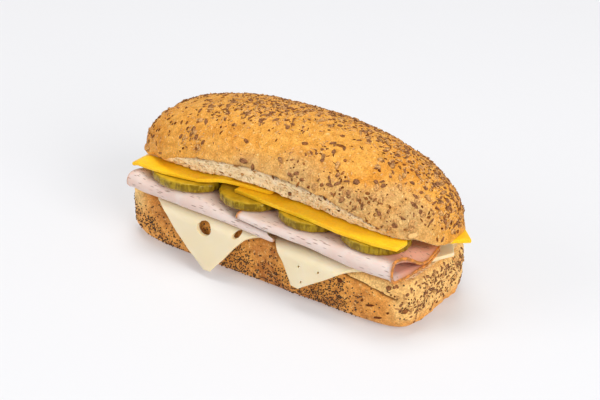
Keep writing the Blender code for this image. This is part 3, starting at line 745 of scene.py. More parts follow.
def crease_level(x):
    """Level of the line where the bottom bun's torn, paler shoulder starts, at its right end."""
    return along_line(x, [(40, 29), (56, 26.5), (75, 22), (95, 17)])


def base_poppy(point, z, at_end, shoulder, up):
    """How thickly poppy seeds lie on the bottom bun: in clusters, and most of all near the foot."""
    cluster = smooth(0.35 + 2.0 * grain(point, 12 * MM, 4))
    near_foot = smooth((16 - z) / 12)
    poppy = (0.03 + 0.16 * cluster + 0.20 * near_foot * (0.2 + cluster)) * (1 - at_end) * (1 - 0.9 * shoulder)
    poppy *= smooth(1.5 + up * 1.6) * smooth((80 - point.x / MM) / 25 + 0.15)
    return min(poppy + drifted(point, POPPY_DRIFTS) + 0.05 * at_end, 1)


def base_flakes(point, y, z, at_end, shoulder):
    """How thickly flakes lie on the bottom bun: on its right end, its shoulder and behind."""
    flakes = at_end * (0.14 + 0.6 * smooth(0.1 + 2.2 * grain(point, 11 * MM, 12))) + 0.22 * shoulder
    flakes *= smooth((z - 4) / 7)
    cluster = smooth(0.35 + 2.0 * grain(point, 12 * MM, 4))
    return flakes + drifted(point, BASE_FLAKE_DRIFTS) + 0.25 * smooth((y - 10) / 10) * cluster


def base_relief(point, angle, rise, up):
    """Height of the bottom bun's fine relief, and its values: crumb, bake, painted light at the left end,
    painted shade in the crease and by the relief, and where the toppings lie.
    """
    x, y, z = point / MM
    front = smooth((-y - 26) / 6)
    at_end = smooth((x - 78) / 8)
    over = z - crease_level(x) - 1.2 * grain(point, 7 * MM, 2)
    shoulder = front * smooth((x - 40) / 12) * smooth(over / 1.2 + 0.5) * (1 - 0.5 * at_end)
    crease = front * smooth((x - 42) / 10) * bump(over, 0, 0.5) * smooth((88 - x) / 8)
    cut = smooth((rise - 0.83) / 0.03)
    fine = 0.22 * grain(point, 3 * MM, 5) + 0.12 * grain(point, 1.5 * MM, 6)
    wrinkle = 0.30 * grain(point, 10 * MM) + fine
    rough = 0.8 * grain(point, 5.5 * MM, 8) + 0.6 * (0.6 - pits(point, 3.6 * MM))
    rough += 0.35 * grain(point, 2.2 * MM, 18)
    off_table = 1 - smooth(-up * 4 - 2.4)
    height = (wrinkle + rough * (0.9 * at_end + 0.4 * shoulder) - 1.6 * crease) * off_table * (1 - cut)
    height += 0.3 * (pits(point, 2.6 * MM) - 0.6) * cut
    pale_end = 0.8 * at_end * smooth((z - 4) / 8)
    # Painted light: the upper left end is painted paler, against the shade of the overhanging ham.
    pale_left = smooth((-x - 68) / 14) * smooth((z - 14) / 9)
    baked_middle = (1 - at_end) * (1 - 0.75 * smooth((x - 52) / 26))
    open_air = off_table * (1 - smooth((rise - 0.72) / 0.06))
    values = {
        "crumb": cut,
        "pale": max(shoulder, pale_end, pale_left),
        # Painted light: less bake towards the left end, against the same shade of the overhanging ham.
        "bake": baked_middle * (0.25 + 0.75 * smooth((x + 74) / 24)),
        # Painted shade: the crease line is darkened in colour as well as dented.
        "crease": min(crease * 1.2, 1),
        # How sunk the fine relief is, for painted shade in its dips and painted highlights on its bumps.
        "hollow": smooth(0.5 - 3 * fine),
        "flakes": base_flakes(point, y, z, at_end, shoulder) * open_air,
        "poppy": base_poppy(point, z, at_end, shoulder, up) * open_air,
    }
    return height * MM, values


def crust_colour(finish, golden, darker, paler):
    """Baked crust: broad patches, then scorched places, painted shade in the dips and painted highlights on
    the bumps of the relief, then freckled, floury and pinholed places.
    """
    broad = finish.steps(finish.noise(14 * MM, 3), 0.34, 0.66)
    baked = finish.maths("MULTIPLY", broad, finish.steps(finish.value("bake"), -0.3, 1))
    hollow = finish.value("hollow")
    crust = finish.layered(
        finish.mix(baked, golden, darker),
        (finish.value("pale"), paler),
        (finish.steps(finish.noise(8 * MM, 4), 0.50, 0.75, 0, 0.30), SCORCHED),
        # Painted shade in the dips of the relief, then painted highlights on its bumps.
        (finish.steps(hollow, 0.4, 1, 0, 0.30), tinted(darker, (0.6, 0.6, 0.6))),
        (finish.steps(hollow, 0.5, 0.0, 0, 0.20), BRIGHT_CRUST),
        (finish.steps(finish.noise(1.1 * MM, 2), 0.62, 0.72, 0, 0.55), FRECKLE),
        (finish.steps(finish.noise(1.5 * MM, 2, Distortion=0.6), 0.28, 0.38, 0.55, 0.0), FLOURY),
        (finish.steps(finish.cells(2.6 * MM), 0.06, 0.15, 0.45, 0.0), PINHOLE),
    )
    return finish.shaded(crust, finish.steps(finish.noise(0.8 * MM, 3), 0.34, 0.68, 0.82, 1.14))


def crumb_colour(finish, crumb, pores):
    """Open crumb: painted shade in the middle of its bubble holes, with paler and toasted places and bits of
    bran.
    """
    return finish.layered(
        # Painted shade: the crumb is darker at the middle of each bubble hole.
        finish.mix(pores, tinted(crumb, (0.93, 0.82, 0.64)), crumb),
        (finish.steps(finish.noise(5 * MM, 3), 0.42, 0.72, 0, 0.7), PALE_CRUMB),
        (finish.steps(finish.noise(4 * MM, 3), 0.55, 0.80, 0, 0.30), TOASTED_CRUMB),
        (finish.steps(finish.noise(1.6 * MM, 2, Distortion=0.8), 0.72, 0.77, 0, 0.5), BRAN),
    )


def crust_finish(name, bread, golden, darker, paler):
    """Baked crust that turns to open crumb where the mesh says so, with painted shade along its creases."""
    finish = Finish(
        name, 0.62, Specular_IOR_Level=0.25, Specular_Tint=(1.0, 0.72, 0.35), Subsurface_Weight=0.06,
        Subsurface_Scale=0.002,
    )
    crumb, pores = finish.value("crumb"), finish.steps(finish.cells(1.5 * MM), 0.10, 0.50)
    crust, inside = crust_colour(finish, golden, darker, paler), crumb_colour(finish, bread.crumb, pores)
    # Painted shade: the crease value darkens the crumb below the lip and the bottom bun's crease line.
    finish.colour(finish.layered(crust, (crumb, inside), (finish.value("crease"), CREASE_SHADE)))
    finish.roughness(finish.steps(crumb, 0, 1, 0.58, 0.9))
    heights = {0: crumb, 2: finish.noise(0.9 * MM, 4), 3: finish.maths("MULTIPLY", pores, 1.2)}
    height = node(finish.tree, "ShaderNodeMix", heights, data_type="FLOAT").outputs[0]
    finish.relief(height, 0.6 * MM, 1.0)
    return finish


# ---------------------------------------------------------------- seeds and flakes


def chip(name, length, width, thick, sides, bend, material):
    """An uneven, slightly bent chip that lies on its flat underside, its brim marked by the value rim."""
    bm = bmesh.new()
    brim = bm.verts.layers.float.new("rim")
    loops = []
    for share, level, marked in ((0.80, -0.45, 1), (1.0, 0.2, 1), (0.66, 0.42, 0)):
        loop = []
        for k in range(sides):
            turn = math.tau * k / sides
            uneven = share * (1 + 0.16 * math.sin(2.4 * k * k + sides))
            x = math.copysign(abs(math.cos(turn)) ** 0.7, math.cos(turn)) * length / 2 * uneven
            y = math.copysign(abs(math.sin(turn)) ** 0.8, math.sin(turn)) * width / 2 * uneven
            z = level * thick + bend * ((2 * y / width) ** 2 - (2 * x / length) ** 2)
            vert = bm.verts.new((x, y, z))
            vert[brim] = marked
            loop.append(vert)
        loops.append(loop)
    for low, high in zip(loops, loops[1:]):
        for k in range(sides):
            after = (k + 1) % sides
            bm.faces.new((low[k], low[after], high[after], high[k]))
    bm.faces.new(loops[0][::-1])
    bm.faces.new(loops[-1])
    for face in bm.faces:
        face.smooth = True
    return object_from(bm, name, material)


def flake_kinds(length, finish):
    """Four shapes of flake."""
    return [
        chip("oval", length, 0.60 * length, 0.7 * MM, 9, 0.15 * MM, finish.material),
        chip("oblong", 1.25 * length, 0.50 * length, 0.6 * MM, 8, 0.25 * MM, finish.material),
        chip("broken", 0.75 * length, 0.62 * length, 0.7 * MM, 6, 0.0, finish.material),
        chip("narrow", 1.1 * length, 0.34 * length, 0.6 * MM, 7, 0.3 * MM, finish.material),
    ]


def sliver_kinds(length, finish):
    """Two shapes of sliver."""
    return [
        chip("straight", length, 0.26 * length, 0.5 * MM, 7, 0.1 * MM, finish.material),
        chip("curled", 0.8 * length, 0.34 * length, 0.5 * MM, 7, 0.4 * MM, finish.material),
    ]


def seed_ball(name, length, material):
    """A poppy seed: a small squashed ball."""
    bm = bmesh.new()
    bmesh.ops.create_icosphere(bm, subdivisions=1, radius=0.5)
    for vert in bm.verts:
        vert.co = Vector((vert.co.x * length, vert.co.y * length * 0.8, vert.co.z * length * 0.7))
        vert.co.z += 0.15 * length
    for face in bm.faces:
        face.smooth = True
    return object_from(bm, name, material)


def scatter_tree(where):
    """Geometry nodes that strew the chosen kinds over a skin, by the named value on it."""
    tree = bpy.data.node_groups.new("strew_" + where, "GeometryNodeTree")
    tree.is_modifier = True
    face = tree.interface
    face.new_socket("Geometry", in_out="OUTPUT", socket_type="NodeSocketGeometry")
    face.new_socket("Geometry", in_out="INPUT", socket_type="NodeSocketGeometry")
    for label, kind, default in (
        ("Kinds", "NodeSocketCollection", None),
        ("Spacing", "NodeSocketFloat", 1 * MM),
        ("Density", "NodeSocketFloat", 10000.0),
        ("Smallest", "NodeSocketFloat", 0.7),
        ("Largest", "NodeSocketFloat", 1.3),
        ("Tip", "NodeSocketFloat", 0.2),
        ("Seed", "NodeSocketInt", 1),
        ("Finish", "NodeSocketMaterial", None),
    ):
        socket = face.new_socket(label, in_out="INPUT", socket_type=kind)
        if default is not None:
            socket.default_value = default
    given = node(tree, "NodeGroupInput").outputs
    density = node(tree, "GeometryNodeInputNamedAttribute", {"Name": where}, data_type="FLOAT")
    spots = node(
        tree,
        "GeometryNodeDistributePointsOnFaces",
        {"Mesh": given["Geometry"], "Distance Min": given["Spacing"], "Density Max": given["Density"],
         "Density Factor": density.outputs["Attribute"], "Seed": given["Seed"]},
        distribute_method="POISSON",
    )
    back = node(tree, "ShaderNodeMath", {0: given["Tip"], 1: -1.0}, operation="MULTIPLY").outputs[0]
    low = node(tree, "ShaderNodeCombineXYZ", {"X": back, "Y": back, "Z": 0.0}).outputs[0]
    high = node(
        tree, "ShaderNodeCombineXYZ", {"X": given["Tip"], "Y": given["Tip"], "Z": math.tau}
    ).outputs[0]
    turn = node(
        tree, "FunctionNodeRandomValue", {0: low, 1: high, "Seed": given["Seed"]}, data_type="FLOAT_VECTOR"
    )
    as_turn = node(tree, "FunctionNodeEulerToRotation", {0: turn.outputs[0]})
    laid = node(
        tree,
        "FunctionNodeRotateRotation",
        {"Rotation": spots.outputs["Rotation"], "Rotate By": as_turn.outputs[0]},
        rotation_space="LOCAL",
    )
    size = node(
        tree,
        "FunctionNodeRandomValue",
        {2: given["Smallest"], 3: given["Largest"], "Seed": given["Seed"]},
        data_type="FLOAT",
    )
    kinds = node(
        tree, "GeometryNodeCollectionInfo",
        {"Collection": given["Kinds"], "Separate Children": True, "Reset Children": True},
    )
    strewn = node(
        tree,
        "GeometryNodeInstanceOnPoints",
        {"Points": spots.outputs["Points"], "Instance": kinds.outputs[0], "Pick Instance": True,
         "Rotation": laid.outputs[0], "Scale": size.outputs[1]},
    )
    shade = node(tree, "FunctionNodeRandomValue", {2: 0.0, 3: 1.0, "Seed": given["Seed"]}, data_type="FLOAT")
    marked = node(
        tree,
        "GeometryNodeStoreNamedAttribute",
        {"Geometry": strewn.outputs[0], "Name": "tint", "Value": shade.outputs[1]},
        data_type="FLOAT",
        domain="INSTANCE",
    )
    real = node(tree, "GeometryNodeRealizeInstances", {"Geometry": marked.outputs[0]})
    done = node(tree, "GeometryNodeSetMaterial", {"Geometry": real.outputs[0], "Material": given["Finish"]})
    node(tree, "NodeGroupOutput", {"Geometry": done.outputs[0]})
    return tree


def strew(name, skin_piece, where, kinds, finish, slot, **sizes):
    """Strews kinds over a skin as one plain mesh."""
    group = bpy.data.collections.new(name + "_kinds")
    for kind in kinds:
        group.objects.link(kind)
    thing = show(bpy.data.objects.new(name, skin_piece.data.copy()))
    tree = scatter_tree(where)
    modifier = thing.modifiers.new("strew", "NODES")
    modifier.node_group = tree
    given = {"Kinds": group, "Finish": finish.material, **sizes}
    for item in tree.interface.items_tree:
        if item.in_out == "INPUT" and item.name in given:
            modifier[item.identifier] = given[item.name]
    apply_modifiers(thing)
    thing.data.name = name
    for kind in kinds:
        bpy.data.objects.remove(kind, do_unlink=True)
    bpy.data.collections.remove(group)
    dress(thing, slot)


def lay_chips(name, bun, chips, finish, slot):
    """Lays single chips on a bun as one mesh."""
    bm = bmesh.new()
    tints = bm.verts.layers.float.new("tint")
    bpy.context.view_layer.update()
    for spot, length, width, turn, tint in chips:
        size = (length * MM, width * MM, SINGLE_THICK)
        kind = chip("single", *size, SINGLE_SIDES, SINGLE_BEND, finish.material)
        _, place, up, _ = bun.closest_point_on_mesh(Vector(spot) * MM)
        along = Vector((1, 0, 0)) - up * up.x
        along.rotate(Matrix.Rotation(math.radians(turn), 3, up))
        lying = Matrix((along.normalized(), up.cross(along).normalized(), up)).transposed()
        before = len(bm.verts)
        bm.from_mesh(kind.data)
        bm.verts.ensure_lookup_table()
        for vert in bm.verts[before:]:
            vert.co = place + lying @ vert.co
            vert[tints] = tint
        bpy.data.objects.remove(kind, do_unlink=True)
    dress(show(object_from(bm, name, finish.material)), slot)


def flake_finish(seeds):
    """Brown to purple-brown flakes with darker brims and paler fibres."""
    finish = Finish("grain_flake", 0.65, Specular_IOR_Level=0.08, Specular_Tint=(1.0, 0.7, 0.4))
    tint = finish.value("tint")
    colour = finish.mix(finish.steps(tint, 0.25, 0.6), seeds.brown, seeds.purple)
    colour = finish.mix(finish.steps(tint, 0.74, 0.95), colour, STRAW_FLAKE)
    colour = finish.mix(finish.steps(tint, 0.30, 0.18), colour, DARK_FLAKE)
    colour = finish.mix(finish.maths("MULTIPLY", finish.value("rim"), 0.25), colour, FLAKE_BRIM)
    fibre = finish.steps(finish.noise(0.9 * MM, 3), 0.35, 0.65, 0.55, 1.25)
    finish.colour(finish.shaded(colour, fibre))
    finish.relief(finish.noise(0.5 * MM, 3), 0.15 * MM, 0.7)
    return finish


def sliver_finish(seeds):
    """Pale oat and rye slivers."""
    finish = Finish("pale_sliver", 0.6, Specular_IOR_Level=0.08, Specular_Tint=(1.0, 0.75, 0.45))
    tint = finish.value("tint")
    colour = finish.mix(finish.steps(tint, 0.1, 0.9), seeds.pale, TOASTED_SLIVER)
    colour = finish.mix(finish.maths("MULTIPLY", finish.value("rim"), 0.4), colour, SLIVER_BRIM)
    fibre = finish.steps(finish.noise(0.8 * MM, 3), 0.35, 0.7, 0.85, 1.1)
    finish.colour(finish.shaded(colour, fibre))
    finish.relief(finish.noise(0.5 * MM, 3), 0.12 * MM, 0.7)
    return finish


def poppy_finish(seeds):
    """Near-black poppy seeds with a netted skin."""
    finish = Finish("poppy_seed", 0.5, Specular_IOR_Level=0.3, Specular_Tint=(1.0, 0.8, 0.6))
    tint = finish.value("tint")
    finish.colour(finish.mix(finish.steps(tint, 0.45, 1), seeds.poppy, WORN_POPPY))
    finish.relief(finish.cells(0.25 * MM), 0.08 * MM, 0.8)
    return finish


# ---------------------------------------------------------------- slices


def stations(low, high, count, rim):
    """Even steps from low to high, with close ones inside the rims."""
    close = [0, 0.12 * rim, 0.35 * rim, 0.7 * rim, 1.1 * rim]
    first, last = low + 2.2 * rim, high - 2.2 * rim
    inner = spread(first, last, count) + [last]
    return [low + step for step in close] + inner + [high - step for step in reversed(close)]


def slab(name, place, shares, across, thickness, rim, material, marks=None):
    """A closed slice with softened rims: place(share, across) gives its middle sheet.

    Each of marks is a named function (share, across, point) whose results are stored for the material.
    """
    rows = [[place(s, t) for s in shares] for t in across]
    tall, wide = len(across), len(shares)

    def lengths(line):
        sums = [0.0]
        for here, after in zip(line, line[1:]):
            sums.append(sums[-1] + (after - here).length)
        return [min(d, sums[-1] - d) for d in sums]

    row_edge = [lengths(row) for row in rows]
    column_edge = [lengths([row[i] for row in rows]) for i in range(wide)]
    verts, upper, lower = [], {}, {}
    marks = marks or {}
    values = {label: [] for label in ("edge", *marks)}

    def put(point, i, j):
        values["edge"].append(min(row_edge[j][i], column_edge[i][j]) / MM)
        for label, mark in marks.items():
            values[label].append(mark(shares[i], across[j], rows[j][i]))
        verts.append(point)
        return len(verts) - 1

    for j in range(tall):
        for i in range(wide):
            before, after = rows[j][max(i - 1, 0)], rows[j][min(i + 1, wide - 1)]
            below, above = rows[max(j - 1, 0)][i], rows[min(j + 1, tall - 1)][i]
            outward = (after - before).cross(above - below)
            outward = outward.normalized() if outward.length > 1e-14 else Vector((0, 0, 1))
            depth = min(min(row_edge[j][i], column_edge[i][j]) / rim, 1.0)
            half = thickness / 2 * math.sqrt(max(1 - (1 - depth) ** 2, 0))
            if i in (0, wide - 1) or j in (0, tall - 1):
                upper[i, j] = lower[i, j] = put(rows[j][i], i, j)
            else:
                upper[i, j] = put(rows[j][i] + outward * half, i, j)
                lower[i, j] = put(rows[j][i] - outward * half, i, j)
    faces = []
    for j in range(tall - 1):
        for i in range(wide - 1):
            corners = ((i, j), (i + 1, j), (i + 1, j + 1), (i, j + 1))
            faces.append(tuple(upper[c] for c in corners))
            faces.append(tuple(lower[c] for c in reversed(corners)))
    return add_mesh(name, verts, faces, material, values)


def hang_over_edge(along, across, level):
    """Where a point of a flat slice goes once the slice bends down over a long side of the roll."""
    side = math.copysign(1, across)
    beyond = max(abs(across) - SWISS_FOLD_AT, 0)
    turned = min(beyond / SWISS_BEND, SWISS_HANG)
    past = max(beyond - SWISS_BEND * SWISS_HANG, 0)
    out = SWISS_BEND * math.sin(turned) + past * math.cos(SWISS_HANG)
    down = SWISS_BEND * (1 - math.cos(turned)) + past * math.sin(SWISS_HANG)
    lying = min(abs(across), SWISS_FOLD_AT)
    return Vector((along, BASE_CENTRE.y + side * (lying + out), level - down))


def swiss_slice(name, left_edge, right_edge, fillings, material):
    """A slice whose two side edges are (across, along) corner points from the front tip to the back tip."""

    def place(share, across):
        low = along_line(across, left_edge)
        high = max(along_line(across, right_edge), low + SWISS_TIP_WIDTH)
        hanging = smooth((abs(across) - SWISS_FOLD_AT) / (20 * MM))
        wave = SWISS_WAVE * math.sin(low / (9 * MM) + share * 3) * hanging
        point = hang_over_edge(low + (high - low) * share, across, SWISS_LEVEL)
        return point + Vector((0, wave + 0.15 * MM * grain(point, 9 * MM, 2), 0))

    rim = 0.45 * MM
    across = stations(left_edge[0][0], right_edge[-1][0], 110, rim)
    shares = stations(0, 1, 34, 0.008)
    return slab(name, place, shares, across, fillings.swiss_thick, rim, material)


def punch(thing, holes, sides=24):
    """Cuts oval eyes through a hanging corner: each hole is (x, z, length, height, tilt, side)."""
    for x, z, length, height, tilt, side in holes:
        bm = bmesh.new()
        bmesh.ops.create_cone(bm, cap_ends=True, segments=sides, radius1=0.5, radius2=0.5, depth=1)
        shape = Matrix.Rotation(tilt, 3, "Y") @ Matrix.Diagonal((length, EYE_CUT_DEPTH, height))
        for vert in bm.verts:
            uneven = 1 + 0.06 * math.sin(2 * math.atan2(vert.co.y, vert.co.x))
            upright = Vector((vert.co.x * uneven, vert.co.z, vert.co.y * uneven))
            vert.co = Vector((x, side * SWISS_HANGS_AT, z)) + shape @ upright
        bmesh.ops.recalc_face_normals(bm, faces=bm.faces)
        cutter = show(object_from(bm, "eye", thing.data.materials[0]))
        cut = thing.modifiers.new("eye", "BOOLEAN")
        cut.operation = "DIFFERENCE"
        cut.solver = "EXACT"
        cut.object = cutter
        apply_modifiers(thing)
        bpy.data.objects.remove(cutter, do_unlink=True)
    thing.data.set_sharp_from_angle(angle=math.radians(50))


def swiss_finish(fillings):
    """Ivory cheese: waxy, slightly see-through, with faint clouding."""
    finish = Finish(
        "swiss_cheese", 0.45, Specular_IOR_Level=0.3, Subsurface_Weight=0.35, Subsurface_Scale=0.004,
        Subsurface_Radius=(1.0, 0.7, 0.35),
    )
    cloud = finish.steps(finish.noise(16 * MM, 3), 0.35, 0.7)
    colour = finish.mix(cloud, fillings.swiss, tinted(fillings.swiss, (1.02, 1.04, 1.12)))
    edge = finish.steps(finish.value("edge"), 0.0, 1.6, 0.45, 0.0)
    colour = finish.mix(edge, colour, SWISS_EDGE)
    finish.colour(colour)
    finish.patchy_roughness(3 * MM, 0.34, 0.52)
    finish.relief(finish.noise(2.2 * MM, 4), 0.12 * MM, 0.5)
    return finish


def ham_path(turn, low, high, reach):
    """(y, z, height) round a flattened roll of ham; height is -1 on its floor layer and 1 on its top one."""
    middle = (low + high) / 2
    radius = (high - low) / 2
    straight = reach - radius
    side = math.copysign(1, turn)
    way = 1 - abs(turn)
    if FOLD_STARTS <= way <= FOLD_ENDS:
        height = -math.cos((way - FOLD_STARTS) / (FOLD_ENDS - FOLD_STARTS) * math.pi)
        y = straight + radius * math.sqrt(max(1 - height * height, 0))
        return side * y, middle + radius * height, height
    below = way < FOLD_STARTS
    if below:
        y = SEAM_HALF + (straight - SEAM_HALF) * way / FOLD_STARTS
    else:
        y = straight * (1 - way) / (1 - FOLD_ENDS)
    pinched = HAM_PINCH + max(radius - HAM_PINCH, 0) * smooth((y - 6 * MM) / (16 * MM))
    return (side * y, middle - pinched, -1) if below else (side * y, middle + pinched, 1)


def end_loop(share, y, z, height):
    """Level of a point near the ham's right end: the front fold gapes, and its layers meet behind."""
    opens = LOOP_TOP_OPENS if height > 0 else LOOP_FLOOR_OPENS
    gaping = z + height * opens * smooth((share - HAM_LAST_STATION) / (1 - HAM_LAST_STATION))
    crease = CREASE_LEVEL + CREASE_RISE * smooth((y + 21 * MM) / (13 * MM))
    joined = smooth((y + 33 * MM) / (12 * MM))
    shut = crease + math.copysign(HAM_PINCH, height)
    near_end = smooth((share - 0.9) / 0.1) * smooth((2 * MM - y) / (8 * MM))
    return z + (gaping + (shut - gaping) * joined - z) * near_end


def ham_slice(name, left_end, right_end, low_line, high_line, looped, fillings, material):
    """A folded slice between left_end(y) and right_end(y); the two lines give its levels along x."""
    thick = fillings.ham_thick
    reach = HAM_REACH - thick / 2

    def place(share, turn):
        nominal, _, _ = ham_path(turn, HAM_FLOOR, HAM_TOP, reach)
        x = left_end(nominal) * (1 - share) + right_end(nominal) * share
        low = along_line(x, low_line) + thick / 2
        high = along_line(x, high_line) - thick / 2
        y, z, height = ham_path(turn, low, high, reach + 0.4 * MM * math.sin(x / (8 * MM)))
        z -= 0.7 * MM * smooth((abs(y) - 40 * MM) / (2 * MM))
        z = end_loop(share, y, z, height) if looped else z
        point = Vector((x, y, z))
        ruffle = Vector((0, 0.3 * MM * grain(point, 12 * MM, 1), 0.15 * MM * grain(point, 7 * MM, 3)))
        return point + ruffle * smooth((abs(y) - 20 * MM) / (10 * MM))

    def rind(share, turn, point):
        """Browned edge: broad round the loop, thin at the left tip and where the slices start inside; on
        ham_right's floor layer near x = 19 mm, rind colour that is partly rind and partly painted shade.
        """
        from_left = (point.x - left_end(point.y)) / MM
        from_right = (right_end(point.y) - point.x) / MM
        if looped:
            start = bump(from_left, 0.3, 1.6) * smooth((-point.y - 34 * MM) / (4 * MM))
            # Partly rind, partly painted shade: the floor layer's front gets rind colour where its shadowed
            # inside shows.
            under = 0.9 * bump(point.x / MM, 19, 7) * smooth((FOLD_STARTS + 0.06 - (1 - abs(turn))) / 0.06)
            return bump(max(from_right - 0.2, 0), 0, 0.9) + start + under
        return 0.9 * bump(max(from_left, 0), 0, 0.7) + 0.8 * bump(from_right, 0, 0.9)

    def deep(share, turn, point):
        """How rosy the slice is: somewhat away from the front fold, and most of all inside the open loop,
        where the rosier colour is painted shade.
        """
        inside = smooth((38 * MM - abs(point.y)) / (8 * MM))
        return inside * (0.25 + 0.65 * smooth((point.x - 64 * MM) / (12 * MM)))

    rim = 0.5 * MM
    shares = stations(0, 1, 84, 0.006)
    turns = stations(-1, 1, 96, 0.012)
    return slab(name, place, shares, turns, thick, rim, material, {"rind": rind, "deep": deep})


def ham_finish(fillings):
    """Moist pale ham with short dark fibres and a browned rind, rosier inside, with painted shade inside the
    open loop.
    """
    finish = Finish(
        "sliced_ham", 0.40, Specular_IOR_Level=0.35, Subsurface_Weight=0.2, Subsurface_Scale=0.003,
        Subsurface_Radius=(1.0, 0.45, 0.3),
    )
    cloud = finish.steps(finish.noise(11 * MM, 4), 0.36, 0.66)
    colour = finish.mix(cloud, fillings.ham, tinted(fillings.ham, (1.04, 1.14, 1.18)))
    # Partly the ham's own rosier inside, partly painted shade inside the open loop.
    colour = finish.mix(finish.value("deep"), colour, ROSY_HAM)
    patchy = finish.steps(finish.noise(9 * MM, 2), 0.38, 0.50, 0.15, 1.0)
    for size, turn in ((1.3 * MM, (0.0, 0.10, 0.12)), (1.5 * MM, (0.0, -0.28, -0.1))):
        fibres = finish.cells(size, finish.stretched((0.16, 1.0, 1.0), turn))
        marks = finish.maths("MULTIPLY", finish.steps(fibres, 0.12, 0.24, 0.8, 0.0), patchy)
        colour = finish.mix(marks, colour, HAM_FIBRE)
    edge = finish.noise(2.2 * MM, 3)
    # The rind value also carries painted shade on ham_right's floor layer.
    browned = finish.maths("MULTIPLY", finish.value("rind"), finish.steps(edge, 0.25, 0.55, 0.7, 1.25))
    rind = finish.mix(finish.steps(edge, 0.42, 0.62), [0.55 * c for c in fillings.rind], fillings.rind)
    colour = finish.mix(browned, colour, rind)
    finish.colour(colour)
    finish.patchy_roughness(2 * MM, 0.30, 0.50)
    finish.relief(finish.noise(1.6 * MM, 4), 0.15 * MM, 0.6)
    return finish


def pickle_slice(node_name, number, material):
    """A fluted pickle round that fills its solid's box, with a faint dish and softened rims."""
    low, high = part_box(node_name)
    centre = (low + high) / 2
    half = (high - low) / 2
    verts, skin_values, core_values = [], [], []
    for out, level in PICKLE_PROFILE:
        for k in range(PICKLE_SIDES):
            turn = math.tau * k / PICKLE_SIDES
            flute = math.cos(PICKLE_FLUTES * turn + 1.5 * math.sin(2 * turn + number))
            ridge = 0.012 * flute * smooth((out - 0.9) / 0.08)
            wobble = 0.006 * math.sin(5 * turn + number) - 0.012
            radius = out * (1 + ridge + wobble * smooth(out))
            point = centre + Vector((half.x * radius * math.cos(turn), half.y * radius * math.sin(turn), 0))
            point.z += half.z * level + 0.12 * MM * grain(point, 4 * MM, number) * smooth((1 - out) * 8)
            verts.append(point)
            skin_values.append(smooth((out - 0.955) / 0.03))
            core_values.append(smooth((0.62 + 0.05 * math.sin(3 * turn + number) - out) / 0.08))
    top, bottom = len(verts), len(verts) + 1
    verts += [centre + Vector((0, 0, half.z)), centre - Vector((0, 0, half.z))]
    skin_values += [0, 0]
    core_values += [1, 1]
    last = (len(PICKLE_PROFILE) - 1) * PICKLE_SIDES
    faces = []
    for start in range(0, last, PICKLE_SIDES):
        below = start + PICKLE_SIDES
        for k in range(PICKLE_SIDES):
            after = (k + 1) % PICKLE_SIDES
            faces.append((start + k, below + k, below + after, start + after))
    for k in range(PICKLE_SIDES):
        after = (k + 1) % PICKLE_SIDES
        faces.append((top, k, after))
        faces.append((bottom, last + after, last + k))
    values = {"skin": skin_values, "core": core_values}
    thing = add_mesh(node_name + "_slice", verts, faces, material, values)
    dress(thing, "pickle", node_name)


def pickle_finish(fillings):
    """Wet pickle: dark skin, see-through flesh with a paler ring and a seedy core."""
    finish = Finish(
        "pickle", 0.2, Specular_IOR_Level=0.5, Specular_Tint=(1.0, 0.8, 0.2), Subsurface_Weight=0.15,
        Subsurface_Scale=0.003, Subsurface_Radius=(1.0, 0.8, 0.05), Coat_Weight=0.12, Coat_Roughness=0.08,
    )
    cloud = finish.steps(finish.noise(5 * MM, 3), 0.35, 0.7)
    flesh = finish.mix(cloud, fillings.pickle_flesh, tinted(fillings.pickle_flesh, (0.72, 0.7, 0.5)))
    flesh = finish.mix(finish.maths("MULTIPLY", finish.value("core"), 0.5), flesh, PICKLE_CORE)
    streaks = finish.noise(1.7 * MM, 3, finish.stretched((1.0, 1.0, 0.25)))
    rind = finish.mix(finish.steps(streaks, 0.38, 0.62), fillings.pickle_skin, PICKLE_STREAK)
    warts = finish.steps(finish.cells(1.6 * MM), 0.05, 0.28, 0.35, 0.0)
    rind = finish.mix(warts, rind, PICKLE_WART)
    finish.colour(finish.mix(finish.value("skin"), flesh, rind))
    finish.relief(finish.noise(1.2 * MM, 4), 0.2 * MM, 0.7)
    return finish


def cheddar_slice(name, rows, left_edge, right_edge, level, fillings, material):
    """A slice from rows[0] to rows[1] across; its side edges are (y, x) corner points, front to back."""

    def place(share, y):
        left = along_line(y, left_edge)
        right = max(along_line(y, right_edge), left + 2 * MM)
        x = left + (right - left) * share
        point = Vector((x, y, level(x, y)))
        return point + Vector((0, 0, 0.12 * MM * grain(point, 14 * MM, 4)))

    rim = 0.4 * MM
    shares = stations(0, 1, 90, 0.005)
    across = stations(rows[0], rows[1], 50, rim)
    return slab(name, place, shares, across, fillings.cheddar_thick, rim, material)


def cheddar_finish(fillings):
    """Bright waxy cheddar with soft clouding and fine mottling."""
    finish = Finish(
        "cheddar", 0.38, Specular_IOR_Level=0.4, Specular_Tint=(1.0, 0.8, 0.3), Subsurface_Weight=0.25,
        Subsurface_Scale=0.003, Subsurface_Radius=(1.0, 0.5, 0.05),
    )
    cloud = finish.steps(finish.noise(10 * MM, 3), 0.35, 0.7)
    colour = finish.mix(cloud, fillings.cheddar, tinted(fillings.cheddar, (1.0, 1.12, 1.3)))
    fine = finish.steps(finish.noise(1.5 * MM, 3), 0.3, 0.7, 0.94, 1.04)
    finish.colour(finish.shaded(colour, fine))
    finish.patchy_roughness(3 * MM, 0.28, 0.48)
    finish.relief(finish.noise(1.8 * MM, 4), 0.1 * MM, 0.5)
    return finish


# ---------------------------------------------------------------- operators


